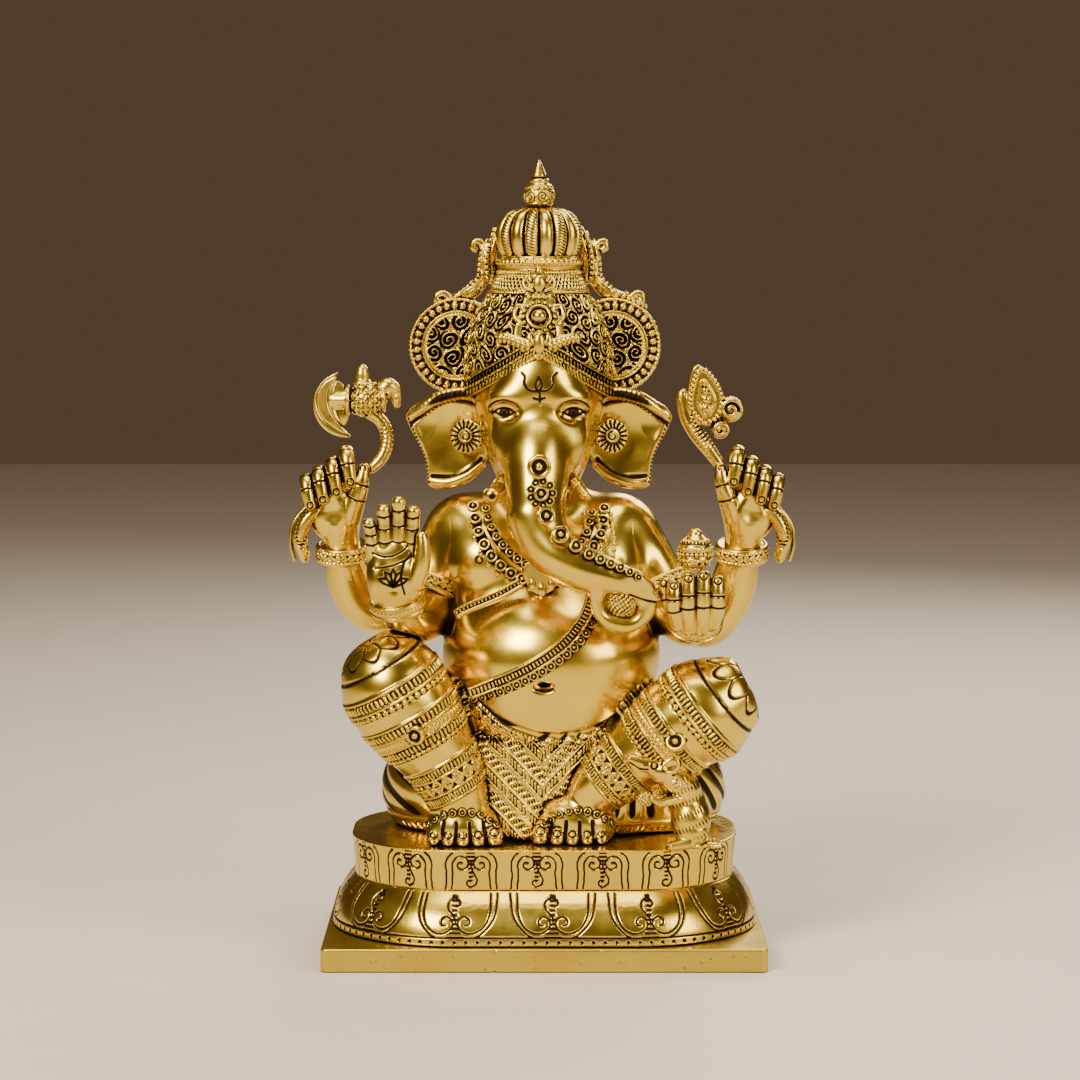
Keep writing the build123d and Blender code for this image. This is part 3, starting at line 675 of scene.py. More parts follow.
def engrave(clay, path, radius=0.45, step=0.5):
    """Groove along a path that lies on the skin."""
    clay.cut(*tube(curve(path, step)[:, :3], radius), blend=0.2, patina_and_shadow=True)


def laid(clay, places, way=(0, 1, 0), back=12.0, step=0.6):
    """Path through places, brought forward and dropped onto the skin along way."""
    rows = curve(places, step)[:, :3]
    w = np.array(way, float) / np.linalg.norm(way)
    return clay.drop(rows - back * w, w)


def touch(clay, place, way=(0, 1, 0), back=80.0):
    """The point of the skin that place meets when it moves along way."""
    w = np.array(way, float) / np.linalg.norm(way)
    return clay.drop(np.array([np.array(place) - back * w]), w)[0]


# ---------------------------------------------------------------- materials
def shader(name):
    made = bpy.data.materials.new(name)
    made.use_nodes = True
    nodes, links = made.node_tree.nodes, made.node_tree.links
    nodes.clear()
    out = nodes.new("ShaderNodeOutputMaterial")
    surface = nodes.new("ShaderNodeBsdfPrincipled")
    links.new(surface.outputs["BSDF"], out.inputs["Surface"])
    return made, nodes, links, surface


def noise(nodes, links, scale, detail=4.0):
    """Noise from 0 to 1 fixed to the object."""
    place = nodes.new("ShaderNodeTexCoord")
    made = nodes.new("ShaderNodeTexNoise")
    made.inputs["Scale"].default_value = scale
    made.inputs["Detail"].default_value = detail
    links.new(place.outputs["Object"], made.inputs["Vector"])
    return made.outputs["Fac"]


def remap(nodes, links, value, low, high, to_low=0.0, to_high=1.0):
    made = nodes.new("ShaderNodeMapRange")
    made.inputs["From Min"].default_value = low
    made.inputs["From Max"].default_value = high
    made.inputs["To Min"].default_value = to_low
    made.inputs["To Max"].default_value = to_high
    links.new(value, made.inputs["Value"])
    return made.outputs["Result"]


def mixed(nodes, links, factor, first, second):
    """Colour between two colours or sockets."""
    made = nodes.new("ShaderNodeMix")
    made.data_type = "RGBA"
    links.new(factor, made.inputs["Factor"])
    for name, value in (("A", first), ("B", second)):
        socket = next(s for s in made.inputs if s.name == name and s.type == "RGBA")
        if isinstance(value, tuple):
            socket.default_value = (*value, 1)
        else:
            links.new(value, socket)
    return next(s for s in made.outputs if s.type == "RGBA")


def math_node(nodes, links, operation, first, second):
    made = nodes.new("ShaderNodeMath")
    made.operation = operation
    for socket, value in zip(made.inputs, (first, second)):
        if isinstance(value, float):
            socket.default_value = value
        else:
            links.new(value, socket)
    return made.outputs["Value"]


SPECK_BROWN = (0.42, 0.26, 0.07)
# Brown and near black of the hollows: patina together with painted shade.
TARNISH_AND_SHADE_BROWN = (0.17, 0.10, 0.028)
PATINA_AND_SHADE_BLACK = (0.022, 0.012, 0.006)


def brass(name, light, deep, rough, pitted=0.0):
    """Polished cast brass: bright on the skin and dark brown in the hollows, where real patina and painted
    shade are mixed into the colour.
    """
    made, nodes, links, surface = shader(name)
    hollow = nodes.new("ShaderNodeAttribute")
    hollow.attribute_name = "hollow"
    # Ambient occlusion paints shade into the colour in creases and where pieces meet, along with their
    # patina.
    open_air = nodes.new("ShaderNodeAmbientOcclusion")
    open_air.samples = 6
    open_air.inputs["Distance"].default_value = 2.4 * MM
    shut = remap(nodes, links, open_air.outputs["AO"], 0.52, 0.16)
    # Mask of patina and painted shade: the hollow attribute and the occlusion, varied by wear.
    patina_and_shade = math_node(nodes, links, "MAXIMUM", remap(nodes, links, hollow.outputs["Fac"], 0.18, 0.72), shut)
    worn = remap(nodes, links, noise(nodes, links, 160), 0.3, 0.7, 0.75, 1.15)
    patina_and_shade = math_node(nodes, links, "MULTIPLY", patina_and_shade, worn)
    cloud = remap(nodes, links, noise(nodes, links, 22), 0.35, 0.7)
    skin = mixed(nodes, links, cloud, light, deep)
    speck = remap(nodes, links, noise(nodes, links, 900, 2.0), 0.62, 0.78, 0.0, 0.35)
    skin = mixed(nodes, links, speck, skin, SPECK_BROWN)
    tarnish_and_shade = mixed(nodes, links, remap(nodes, links, patina_and_shade, 0.14, 0.6), skin, TARNISH_AND_SHADE_BROWN)
    links.new(mixed(nodes, links, remap(nodes, links, patina_and_shade, 0.32, 0.85), tarnish_and_shade, PATINA_AND_SHADE_BLACK),
              surface.inputs["Base Color"])
    surface.inputs["Metallic"].default_value = 1.0
    smear = remap(nodes, links, noise(nodes, links, 60), 0.3, 0.7, rough - 0.05, rough + 0.06)
    links.new(math_node(nodes, links, "ADD", smear, remap(nodes, links, patina_and_shade, 0.2, 1.0, 0.0, 0.3)),
              surface.inputs["Roughness"])
    grain = nodes.new("ShaderNodeBump")
    grain.inputs["Strength"].default_value = 0.16 + pitted
    grain.inputs["Distance"].default_value = 0.12 * MM
    links.new(noise(nodes, links, 420 if pitted else 260, 5.0), grain.inputs["Height"])
    links.new(grain.outputs["Normal"], surface.inputs["Normal"])
    return made


def steel():
    made, nodes, links, surface = shader("SteelFixing")
    shade = mixed(nodes, links, noise(nodes, links, 500), (0.42, 0.42, 0.43), (0.56, 0.56, 0.57))
    links.new(shade, surface.inputs["Base Color"])
    surface.inputs["Metallic"].default_value = 1.0
    surface.inputs["Roughness"].default_value = 0.38
    return made


def floor_paint():
    made, nodes, links, surface = shader("StudioFloor")
    shade = mixed(nodes, links, noise(nodes, links, 30), (0.72, 0.64, 0.54), (0.75, 0.67, 0.57))
    links.new(shade, surface.inputs["Base Color"])
    surface.inputs["Roughness"].default_value = 0.62
    return made


FIGURE = brass("FigureBrass", (0.83, 0.60, 0.075), (0.71, 0.475, 0.042), 0.24)
ORNAMENT = brass("OrnamentBrass", (0.84, 0.605, 0.09), (0.71, 0.475, 0.05), 0.26)
SLAB_BRASS = brass("SlabBrass", (0.67, 0.49, 0.07), (0.57, 0.395, 0.045), 0.36, 0.3)


# ---------------------------------------------------------------- drawings cut into a face
class Stencil:
    """Distance to a drawing of lines that repeats every width mm, looked up from a fine grid."""

    GRAIN = 0.1

    def __init__(self, lines, width, height):
        self.width, self.height = width, height
        across = np.arange(0, width, self.GRAIN) - width / 2
        up = np.arange(0, height + self.GRAIN, self.GRAIN)
        u, v = np.meshgrid(across, up, indexing="ij")
        gap = np.full(u.shape, 9.0)
        for line in lines:
            rows = np.array(line, float)
            for (ax, ay), (bx, by) in zip(rows, rows[1:]):
                dx, dy = bx - ax, by - ay
                t = np.clip(((u - ax) * dx + (v - ay) * dy) / (dx * dx + dy * dy + 1e-9), 0, 1)
                gap = np.minimum(gap, np.hypot(u - ax - t * dx, v - ay - t * dy))
        self.gap = gap

    def depth(self, s, v, half_width):
        """1 in the middle of a line, 0 beyond half_width of it."""
        i = ((s / self.width + 0.5) % 1.0 * self.width / self.GRAIN).astype(int) % self.gap.shape[0]
        j = np.clip((v / self.GRAIN).astype(int), 0, self.gap.shape[1] - 1)
        return bump(self.gap[i, j] / half_width)


def both_hands(lines):
    """Lines of (u, v) and their mirror images."""
    return lines + [[(-u, v) for u, v in line] for line in lines]


def smooth_lines(lines):
    return [curve(line, 0.5) for line in lines]


def round_outline(points, size, radius):
    """Distance along a rounded rectangle from the middle of its front, for points beside it."""
    straight_x, straight_y = size[0] / 2 - radius, size[1] / 2 - radius
    quarter = straight_x + radius * math.pi / 2 + straight_y
    ax, ay = np.abs(points[:, 0]), np.abs(points[:, 1])
    corner = straight_x + radius * np.arctan2(np.maximum(ax - straight_x, 0),
                                              np.maximum(ay - straight_y, 1e-6))
    s = np.where(ax < straight_x, ax, np.where(ay < straight_y, quarter - ay, corner))
    s = np.where(points[:, 1] < 0, s, 2 * quarter - s)
    return np.sign(points[:, 0]) * s, 4 * quarter


def exact(node, voxel, soften=0.3, pad=2.0):
    """Clay shaped exactly as a CAD piece, but for a slight softening of its edges."""
    clay = clay_over(node, voxel, pad)
    points, faces = cad_mesh(node)
    reach = 7 * clay.voxel
    clay.field = np.full(clay.count, reach, np.float32)
    grid = level_set(points, faces, clay.voxel, reach)
    grid.copyToArray(clay.field, ijk=tuple(int(v) for v in clay.first))
    clay.field = softened(clay.field, soften / clay.voxel)
    return clay


# ---------------------------------------------------------------- pedestal
PETALS, PETAL_SHIFT = 13, 4.0        # petals round the lower tier, and how far the front one is off centre
PANELS, PANEL_SHIFT = 17, -3.5
LINE_HALF = 0.55


def petal_lines(top):
    """One petal of the lower tier: open above, with two curls at its foot and a hook between."""
    pair = [
        [(20.0, top), (19.0, 16), (16.5, 10.5), (12, 6), (9.5, 4.6)],
        [(16.8, top - 1), (16.2, 15), (13.4, 9.3), (8.5, 6.5), (4.2, 7), (1.5, 9.5), (1.8, 12.4),
         (4.6, 13.6),
         (6.8, 12), (6.2, 10.2), (4.6, 10)],
    ]
    hook = [(0.2, 10.5), (-0.4, 13.8), (-3.0, 16.2), (-3.8, 18.6), (-2.0, 20.8), (1.2, 20.8), (2.4, 18.8),
            (0.8, 17.8)]
    return smooth_lines(both_hands(pair) + [hook])


def panel_lines(top):
    """One arched panel of the upper tier: two curls under the arch and a tail between."""
    pair = [
        [(12.2, 0), (11.6, 7), (12.0, 12.5), (10.8, 16), (8.4, top - 1.0)],
        [(9.2, 0.6), (8.6, 8), (8.9, 12.5), (7.0, 15.6), (4.0, 16.2), (1.5, 14.2), (1.6, 11.4), (4.0, 10.0),
         (6.2, 11.2), (5.8, 13.2), (4.0, 13.2)],
    ]
    tail = [(0, 13.4), (0.2, 10.6), (1.6, 7.6), (2.8, 5), (2, 2.6), (-0.4, 1.6), (-2.0, 3.0), (-1.4, 4.6),
            (0, 4.4)]
    return smooth_lines(both_hands(pair) + [tail])


def tier(name, node, radius, lines, count, shift, half_column, voxel, trims):
    """A tier of the pedestal with its drawing cut into the outside face."""
    low, high = node_box(node)
    size = high - low
    clay = exact(node, voxel)
    _, length = round_outline(np.zeros((1, 3)), size, radius)
    pitch = length / count
    stencil = Stencil(lines, pitch, size[2])

    def height(points):
        s, _ = round_outline(points, size, radius)
        s, v = s - shift, points[:, 2] - low[2]
        outside = np.hypot(points[:, 0] / size[0], points[:, 1] / size[1]) > 0.36
        sunk = -0.62 * stencil.depth(s, v, LINE_HALF)
        off = np.abs(cell(s + pitch / 2, pitch))
        ribs = -0.32 * ridge(cell(v, 1.9) / 0.55) * (off < half_column(v))
        face = (v > 0.6) & (v < size[2] - 0.6) & outside
        return np.where(face, sunk + ribs * (v > 4.6), 0) + trims(s, v, size[2]) * outside

    clay.relief(low - 1, high + 1, height, 1.6)
    show(name, clay, [node], FIGURE)


def lower_tier():
    size = np.subtract(*reversed(node_box("lotus_pedestal")))

    def trims(s, v, top):
        lines = -0.6 * np.maximum(bump((v - 4.5) / 0.6), bump((v - 0.4) / 0.6))
        dimples = -0.9 * bump(np.hypot(cell(s, 5.4), v - 2.5) / 1.1)
        return lines + dimples

    tier("lotus_tier", "lotus_pedestal", 60.0, petal_lines(size[2]), PETALS, PETAL_SHIFT,
         lambda v: 1.5 + 3.2 * np.clip((9 - v) / 5, 0, 1), 0.4, trims)


def upper_tier():
    size = np.subtract(*reversed(node_box("seat_platform")))

    def trims(s, v, top):
        return 0.45 * bump((v - top + 0.5) / 0.8) * (0.4 + 0.6 * ridge(cell(s, 1.5) / 0.6))

    tier("seat_tier", "seat_platform", 52.0, panel_lines(size[2]), PANELS, PANEL_SHIFT,
         lambda v: 1.0 + 1.1 * np.clip((v - 6) / 10, 0, 1), 0.4, trims)


def slab_plate():
    """Bottom slab: pitted faces and a nicked upper front edge."""
    low, high = node_box("base_slab")
    clay = exact("base_slab", 0.6, 0.4)
    chance = np.random.default_rng(3)
    sides = chance.uniform((low[0], low[1], low[2]), (high[0], low[1], high[2]), (46, 3))
    pits = [ball(p, r) for p, r in zip(sides, chance.uniform(0.35, 0.8, len(sides)))]
    nicks = chance.uniform((low[0] * 0.6, low[1] + 6.5, high[2]), (high[0] * 0.8, low[1] + 8.5, high[2]),
                           (90, 3))
    clay.cut(*pits, *[ball(p, 0.55) for p in nicks], blend=0.3)
    show("slab", clay, ["base_slab"], SLAB_BRASS)


# ---------------------------------------------------------------- studio
def studio(floor_z):
    bpy.ops.mesh.primitive_plane_add(size=6, location=(0, 0, floor_z))
    floor = bpy.context.object
    floor.name = "studio_floor"
    floor.data.materials.append(floor_paint())


def lamp(name, place, target, size, power, tint):
    data = bpy.data.lights.new(name, "AREA")
    data.shape = "RECTANGLE"
    data.size, data.size_y = size
    data.energy = power
    data.color = tint
    made = bpy.data.objects.new(name, data)
    made.location = place
    made.rotation_euler = (Vector(target) - Vector(place)).to_track_quat("-Z", "Y").to_euler()
    bpy.context.scene.collection.objects.link(made)


# Name, place in metres, size in metres, power in watts and tint of each lamp.
LAMPS = (
    ("key", (-0.75, -1.15, 1.15), (0.55, 0.7), 38, (1.0, 0.92, 0.75)),
    ("fill", (1.15, -0.95, 0.75), (0.6, 0.9), 16, (1.0, 0.91, 0.76)),
    ("top", (0.0, -0.1, 1.5), (0.9, 0.6), 14, (1.0, 0.94, 0.82)),
    ("rim", (0.5, 1.1, 0.9), (0.8, 0.6), 12, (1.0, 0.93, 0.84)),
)


def lights(middle):
    for name, place, size, power, tint in LAMPS:
        lamp(name, place, middle, size, power, tint)
    world = bpy.data.worlds.new("studio")
    bpy.context.scene.world = world
    world.use_nodes = True
    sky = world.node_tree.nodes["Background"]
    sky.inputs["Color"].default_value = (0.28, 0.17, 0.10, 1)
    sky.inputs["Strength"].default_value = 0.32


CAMERA_AWAY = 1.65                   # from the middle of the object to the camera
CAMERA_LENS, SENSOR_WIDTH = 113.3, 36
CAMERA_SHIFT = (-0.002, -0.312)      # drops the frame to take in the whole figure
CAMERA_LEVEL = 0.944                 # height of the camera as a share of the object's


def camera():
    """Level with the crown and looking straight ahead."""
    low, high = CAD_BOX
    data = bpy.data.cameras.new("photo_camera")
    data.lens = CAMERA_LENS
    data.sensor_width = SENSOR_WIDTH
    data.shift_x, data.shift_y = CAMERA_SHIFT
    made = bpy.data.objects.new("photo_camera", data)
    made.location = (low[0] * 0.008, -CAMERA_AWAY, high[2] * CAMERA_LEVEL)
    made.rotation_euler = (math.radians(90), 0, 0)
    bpy.context.scene.collection.objects.link(made)
    bpy.context.scene.camera = made


# ---------------------------------------------------------------- body
SKIN = 0.5         # voxel of the large smooth pieces
FINE = 0.33        # voxel of the ornaments and hands
FILLET_SPREAD = 0.92      # how far a fillet may thicken a piece, as a share of its blend


def flange(clay, base, blend=4.0):
    """Run the clay out onto its neighbour in a fillet, where base is the neighbour's clay."""
    other = np.full(clay.count, FAR, np.float32)
    low, high = clay.first * clay.voxel, (clay.first + clay.count - 1) * clay.voxel
    if base.window(low, high) is None:
        return
    start = np.maximum(base.first * base.voxel, low)
    stop = np.minimum((base.first + base.count - 1) * base.voxel, high)
    slices, (wx, wy, wz) = clay.window(start, stop)
    grid = np.stack(np.broadcast_arrays(wx, wy, wz), axis=-1).reshape(-1, 3)
    near = np.abs(clay.field[slices]).ravel() < blend + 2
    values = np.full(len(grid), FAR, np.float32)
    values[near] = base.sample(grid[near])
    other[slices] = values.reshape(clay.field[slices].shape)
    own = clay.field
    joined = smooth_min(own, other, blend)
    clay.field = np.maximum(joined, own - FILLET_SPREAD * blend)


def torso():
    clay = cast_from("torso", SKIN, 4.0, hollow=True)
    at = places_on("torso")
    belly = egg(at(-1, -12, 2), (49, 42, 34))
    breasts = [egg(at(side * 23 - 6, -14, 44), (25, 16, 20)) for side in (-1, 1)]
    clay.add(belly, *breasts, blend=8)
    shoulders = [egg(at(-42, 3, 59), (20, 20, 18)), egg(at(29, 3, 59), (20, 20, 18))]
    clay.add(*shoulders, blend=9)
    hips = [egg(at(side * 52 - 1, 10, -64), (30, 34, 27)) for side in (-1, 1)]
    clay.add(*hips, blend=6)
    fold = [at(-46, 0, -12), at(-39, 0, -17), at(-25, 0, -28), at(-4, 0, -34.5), at(20, 0, -31),
            at(41, 0, -18),
            at(46, 0, -12)]
    clay.cut(*tube(laid(clay, fold, back=80, step=1.2), 1.8), blend=2.0, patina_and_shadow=True)
    band = [place - (0, 0, 5.2) for place in fold[1:-1]]
    follow(clay, laid(clay, band, back=80), [(0, 5.6, "flowers", 0.9), (3.6, 1.2, "rope", 0.8)], 2.6)
    clay.add(egg(at(-24, -8, 22), (22, 22, 16)), blend=8)
    middle = [at(-5, 0, 60), at(-6, 0, 46), at(-5, 0, 34)]
    clay.cut(*tube(laid(clay, middle, back=80, step=1.2), 1.6), blend=4)
    navel = laid(clay, [at(-5.5, 0, -10), at(-4.5, 0, -10)], back=80)[0]
    clay.cut(egg(navel, (5.2, 4.4, 2.5)), blend=2.0)
    clay.cut(egg(navel + (0.4, 3.4, 0.9), (2.9, 2.6, 1.1)), blend=0.6, patina_and_shadow=True)
    nipple = laid(clay, [at(-36, 0, 47.5), at(-35, 0, 47.5)], back=80)[0]
    clay.add(ball(nipple, 1.1), blend=0.8)
    clay.cut(hoop(nipple, (-0.4, -1, 0.1), 1.7, 0.3), blend=0.3, patina_and_shadow=True)
    spine = [at(-7, 0, 70), at(-6, 0, 40), at(-3, 0, 10), at(-1, 0, -20)]
    clay.cut(*tube(laid(clay, spine, (0, -1, 0), 90, 1.5), 1.8), blend=5)
    blades = [egg(at(side * 24 - 6, 22, 45), (15, 8, 20)) for side in (-1, 1)]
    clay.add(*blades, blend=8)
    drape(clay, at)
    return clay


def drape(clay, at):
    """Pleats and a hem of the cloth round the hips."""
    top = at(0, 0, -30)[2]
    low, high = node_box("torso")

    def height(points):
        dx, dy = points[:, 0] - 4, points[:, 1] - 12
        angle = np.arctan2(dy, dx)
        up = points[:, 2] - low[2]
        pleat = np.sin(angle * 34 + 0.055 * up * np.cos(angle * 2) * 10)
        fade = np.clip((top - points[:, 2]) / 8, 0, 1) * np.clip((up - 7) / 5, 0, 1)
        hem = np.maximum(ridge((up - 6.2) / 0.8), ridge((up - 1.2) / 0.8)) * 0.7
        leaf = band_height("leaves", angle * 78, up - 3.7, 4.2) * 0.8
        return 0.42 * pleat * fade + np.where(up < 8, np.maximum(hem, leaf), 0)

    clay.relief(low - 4, np.array([high[0] + 4, high[1] + 4, top]), height, 2.2)


BODY = torso()


def limb_of(node, soften, base, blend=4.0, grain=1.5, voxel=SKIN):
    clay = cast_from(node, voxel, soften, grain=grain)
    flange(clay, base, blend)
    return clay


# Bands from the knee cap down to the ankle: (distance down the leg, width, ornament, height).
LEG_BANDS = (
    (0.0, 2.0, "line", 1.0), (3.2, 4.2, "ticks", 0.9), (6.3, 1.8, "line", 0.9), (8.6, 2.8, "beads", 1.0),
    (17.0, 1.8, "line", 1.0), (19.9, 3.8, "ticks", 0.9), (22.8, 1.8, "line", 0.9), (25.4, 3.4, "ribs", 1.0),
    (28.0, 1.6, "line", 0.9), (30.8, 3.8, "ticks", 0.9), (33.9, 2.6, "beads", 1.0), (44.0, 1.7, "line", 1.0),
    (46.8, 3.6, "ticks", 0.9), (49.4, 1.5, "line", 0.9), (53.4, 6.2, "flowers", 1.2),
    (57.4, 1.6, "line", 0.9),
    (60.0, 3.4, "ticks", 0.9), (62.4, 1.4, "line", 0.9),
)


def knee_cap(clay, limb, radius, dome):
    """Engraved flower on the end of the knee: rays, scallops and a ring."""
    def height(points):
        rho, angle, along = limb.coordinates(points)
        rays = np.abs(np.cos(angle * 4.5))
        petal = radius * (0.58 + 0.16 * rays)
        lines = bump((rho - petal) / 0.6) + bump((rho - radius * 0.86) / 0.5)
        lines += bump(cell(angle * 9 / (2 * math.pi), 1.0) * rho * 0.7 / 0.5) * (rho < petal) * (rho > 3.5)
        lines += bump((rho - 3.2) / 0.5)
        return np.where(along < -1, -0.5 * np.minimum(lines, 1), 0)

    reach = radius + dome
    clay.relief(limb.centre - reach, limb.centre + reach, height)


def foot_of(clay, toes, sole, instep):
    """Domed instep, five toes with nails, and an anklet of buttons."""
    front = min(toe[1] for toe in toes)
    clay.add(egg((instep[0], front + 22, sole + 4), (17, 22, 15)), blend=3)
    for x, y, radius, back in toes:
        tip = np.array((x, y - 1.5, sole + radius))
        heel = np.array((x + (instep[0] - x) * 0.2, y + back * 0.62, sole + radius + 8.0))
        clay.add(rod(heel, tip, radius * 0.9, radius), blend=0.8)
        for share in (0.28, 0.5):
            knuckle = tip + (heel - tip) * share
            clay.cut(hoop(knuckle, heel - tip, radius * 1.0, 0.3), blend=0.3, patina_and_shadow=True)
        nail = tip + np.array((0, -radius * 0.6, radius * 0.66))
        clay.cut(hoop(nail, (0, -0.75, 0.65), radius * 0.5, 0.28), blend=0.2, patina_and_shadow=True)
    for first, second in zip(toes, toes[1:]):
        x = (first[0] + second[0]) / 2
        lean = (instep[0] - x) * 0.12
        gap = [(x, 0, sole + 1.2), (x + lean / 2, 0, sole + 5.5), (x + lean, 0, sole + 11.5)]
        clay.cut(*tube(laid(clay, gap, back=90), 0.75), blend=0.4, patina_and_shadow=True)
    anklet = ((-16, 9.5), (-9, 14.4), (0, 16.4), (9, 14.4), (16, 9.5))
    row = [(instep[0] + u, 0, sole + v) for u, v in anklet]
    path = clay.drop(curve(row, 4.2)[:, :3] - (0, 90, 0), (0, 1, 0))
    for p, n in zip(path, clay.normals(path)):
        button(clay, p + n * 0.2, n, 1.9)


def leg(node, knee, ankle, radius, instep, toes, rosette):
    """A folded leg with knee cap, bands and foot. knee and ankle are offsets from the box's middle."""
    clay = limb_of(node, 1.8, BODY)
    low, high = node_box(node)
    start, end = spot(node, *knee), spot(node, *ankle)
    limb = Frame(start, end - start, (0, -1, 0))
    clay.add(egg(limb.at(0, 0, 1.5), (radius * 0.97, radius * 0.97, radius * 0.72),
                 (limb.u, limb.v, limb.w)), blend=3)
    knee_cap(clay, limb, radius, 10)
    wrap(clay, limb, radius * 0.84, LEG_BANDS, low - 3, high + 3)
    foot_of(clay, toes, low[2], spot(node, *instep))
    stud = touch(clay, spot(node, *rosette))
    button(clay, stud, clay.normals(stud[None])[0], 4.8)
    return clay


def legs():
    right = [(-52.0, -47.2, 3.3, 13), (-45.3, -49.6, 3.4, 14), (-38.2, -50.4, 3.5, 14),
             (-31.0, -50.2, 3.7, 14),
             (-23.5, -48.6, 4.3, 13)]
    left = [(-1.8, -45.0, 4.3, 13), (6.0, -46.8, 3.7, 14), (13.2, -47.0, 3.5, 14), (20.2, -46.4, 3.4, 14),
            (27.0, -44.2, 3.3, 13)]
    shapes = (
        ("right_leg", (-14.8, -26.1, 27), (19, -21, -34), 24.4, (19.7, -22.5, -41), right, (-1.3, 0, 4.5)),
        ("left_leg", (29, -25.4, 20), (-24, -20, -22), 24.6, (-32, -19, -34), left, (13.5, 0, 7)),
    )
    for node, *shape in shapes:
        show(f"{node}_skin", leg(node, *shape), [node], FIGURE)


APRON_BANDS = ((-6.6, 1.4, "line", 0.8), (-3.4, 4.4, "ticks", 0.8), (-0.2, 1.4, "line", 0.8),
               (4.6, 6.4, "lattice", 0.7))


def apron():
    """Cloth between the legs, in V-shaped folds with engraved hems."""
    clay = limb_of("dhoti_apron", 1.2, BODY, 2.0, 1.2)
    low, high = node_box("dhoti_apron")
    middle = spot("dhoti_apron")

    def height(points):
        u, v = points[:, 0] - middle[0] - 1, points[:, 2] - low[2]
        chevron = v - np.abs(u) * 1.05
        folds = stacked(APRON_BANDS, u * 1.4, cell(chevron, 17.0))
        return np.where(points[:, 1] < middle[1], folds, 0)

    clay.relief(low - 3, high + 3, height, 2.2)
    show("apron_cloth", clay, ["dhoti_apron"], ORNAMENT)


# ---------------------------------------------------------------- head and trunk
# Upper and lower eyelid: how far its inner groove lies above it, and its line.
EYELIDS = (
    (-0.9, ((-6.4, -0.8), (-4.2, 1.7), (-0.4, 2.9), (3.6, 2.1), (6.4, -0.4))),
    (0.9, ((-6.4, -0.8), (-3.4, -2.2), (0.4, -2.7), (3.8, -1.8), (6.4, -0.4))),
)
# The fold above the eye and the tail of its outer corner: radius of the groove, and its line.
EYE_CREASES = (
    (0.36, ((-7.4, 1.6), (-4.6, 4.4), (0, 5.8), (4.8, 4.6), (8.2, 1.2))),
    (0.34, ((6.2, -0.5), (9.6, 0.6))),
)


def head():
    clay = cast_from("head", 0.4, 2.5, grain=1.5)
    at = places_on("head")
    clay.add(*[egg(at(s * 13, -24, 12), (11, 8, 7)) for s in (-1, 1)], blend=6)
    clay.add(*[egg(at(s * 13, -20, -10), (12, 12, 14)) for s in (-1, 1)], blend=6)
    for s in (-1, 1):
        jaw = np.array(((s * 0.941, 0, -0.338), (0, 1, 0), (s * 0.338, 0, 0.941)))
        clay.cut(slab(at(s * 32.6, -31, -18), (10, 19, 19), jaw, 3), blend=5)
    clay.add(egg(at(0, -22, 20), (16, 10, 16)), blend=8)
    clay.cut(*[egg(at(s * 16.3, -31, 5.6), (7.4, 5.4, 4.6)) for s in (-1, 1)], blend=3.5)
    for s in (-1, 1):
        eye = at(s * 16.4, 0, 5.6)
        rim = touch(clay, eye)
        clay.add(egg(rim + (0, 1.4, 0), (5.6, 2.9, 2.9)), blend=0.4)
        for inset, lid in EYELIDS:
            clay.add(*tube(laid(clay, [eye + (s * u, 0, v) for u, v in lid], back=80), 0.75), blend=0.7)
            inner = [eye + (s * u * 0.9, 0, v + inset) for u, v in lid]
            engrave(clay, laid(clay, inner, back=80), 0.42)
        for radius, crease in EYE_CREASES:
            engrave(clay, laid(clay, [eye + (s * u, 0, v) for u, v in crease], back=80), radius)
        pupil = touch(clay, eye - (0, 0, 0.5))
        clay.cut(hoop(pupil, (0, -1, 0), 2.0, 0.36), blend=0.15, patina_and_shadow=True)
        clay.cut(ball(pupil + (0, -0.1, 0), 0.9), blend=0.2, patina_and_shadow=True)
    brow_mark(clay, at)
    return clay


def brow_mark(clay, at):
    """Engraved three-pronged brow mark, and a plain scroll flourish below it."""
    prongs = [
        [(-8.4, 24.5), (-6.6, 22.4), (-6.8, 19.0), (-4.4, 16.2), (0, 15.6)],
        [(8.4, 24.5), (6.6, 22.4), (6.8, 19.0), (4.4, 16.2), (0, 15.6)],
        [(0, 22.5), (-1.6, 18.4), (-0.4, 15.6)],
        [(0, 22.5), (1.6, 18.4), (0.4, 15.6), (0.6, 9)],
        [(-2.6, 12.6), (0, 11.8), (2.8, 12.6)],
        [(0.6, 9), (-3.4, 6.6), (-4.0, 2.4), (-1.0, 1.0), (0.6, 3.4), (-0.8, 5.0)],
        [(0.6, 9), (4.6, 6.6), (5.2, 2.4), (2.2, 1.0), (0.6, 3.4), (2.0, 5.0)],
        [(0.6, 1.6), (-1.2, -1.8), (0.6, -5.2), (2.4, -1.8), (0.6, 1.6)],
    ]
    for line in prongs:
        engrave(clay, laid(clay, [at(u, 0, v) for u, v in line], back=80), 0.36)


HEAD = head()


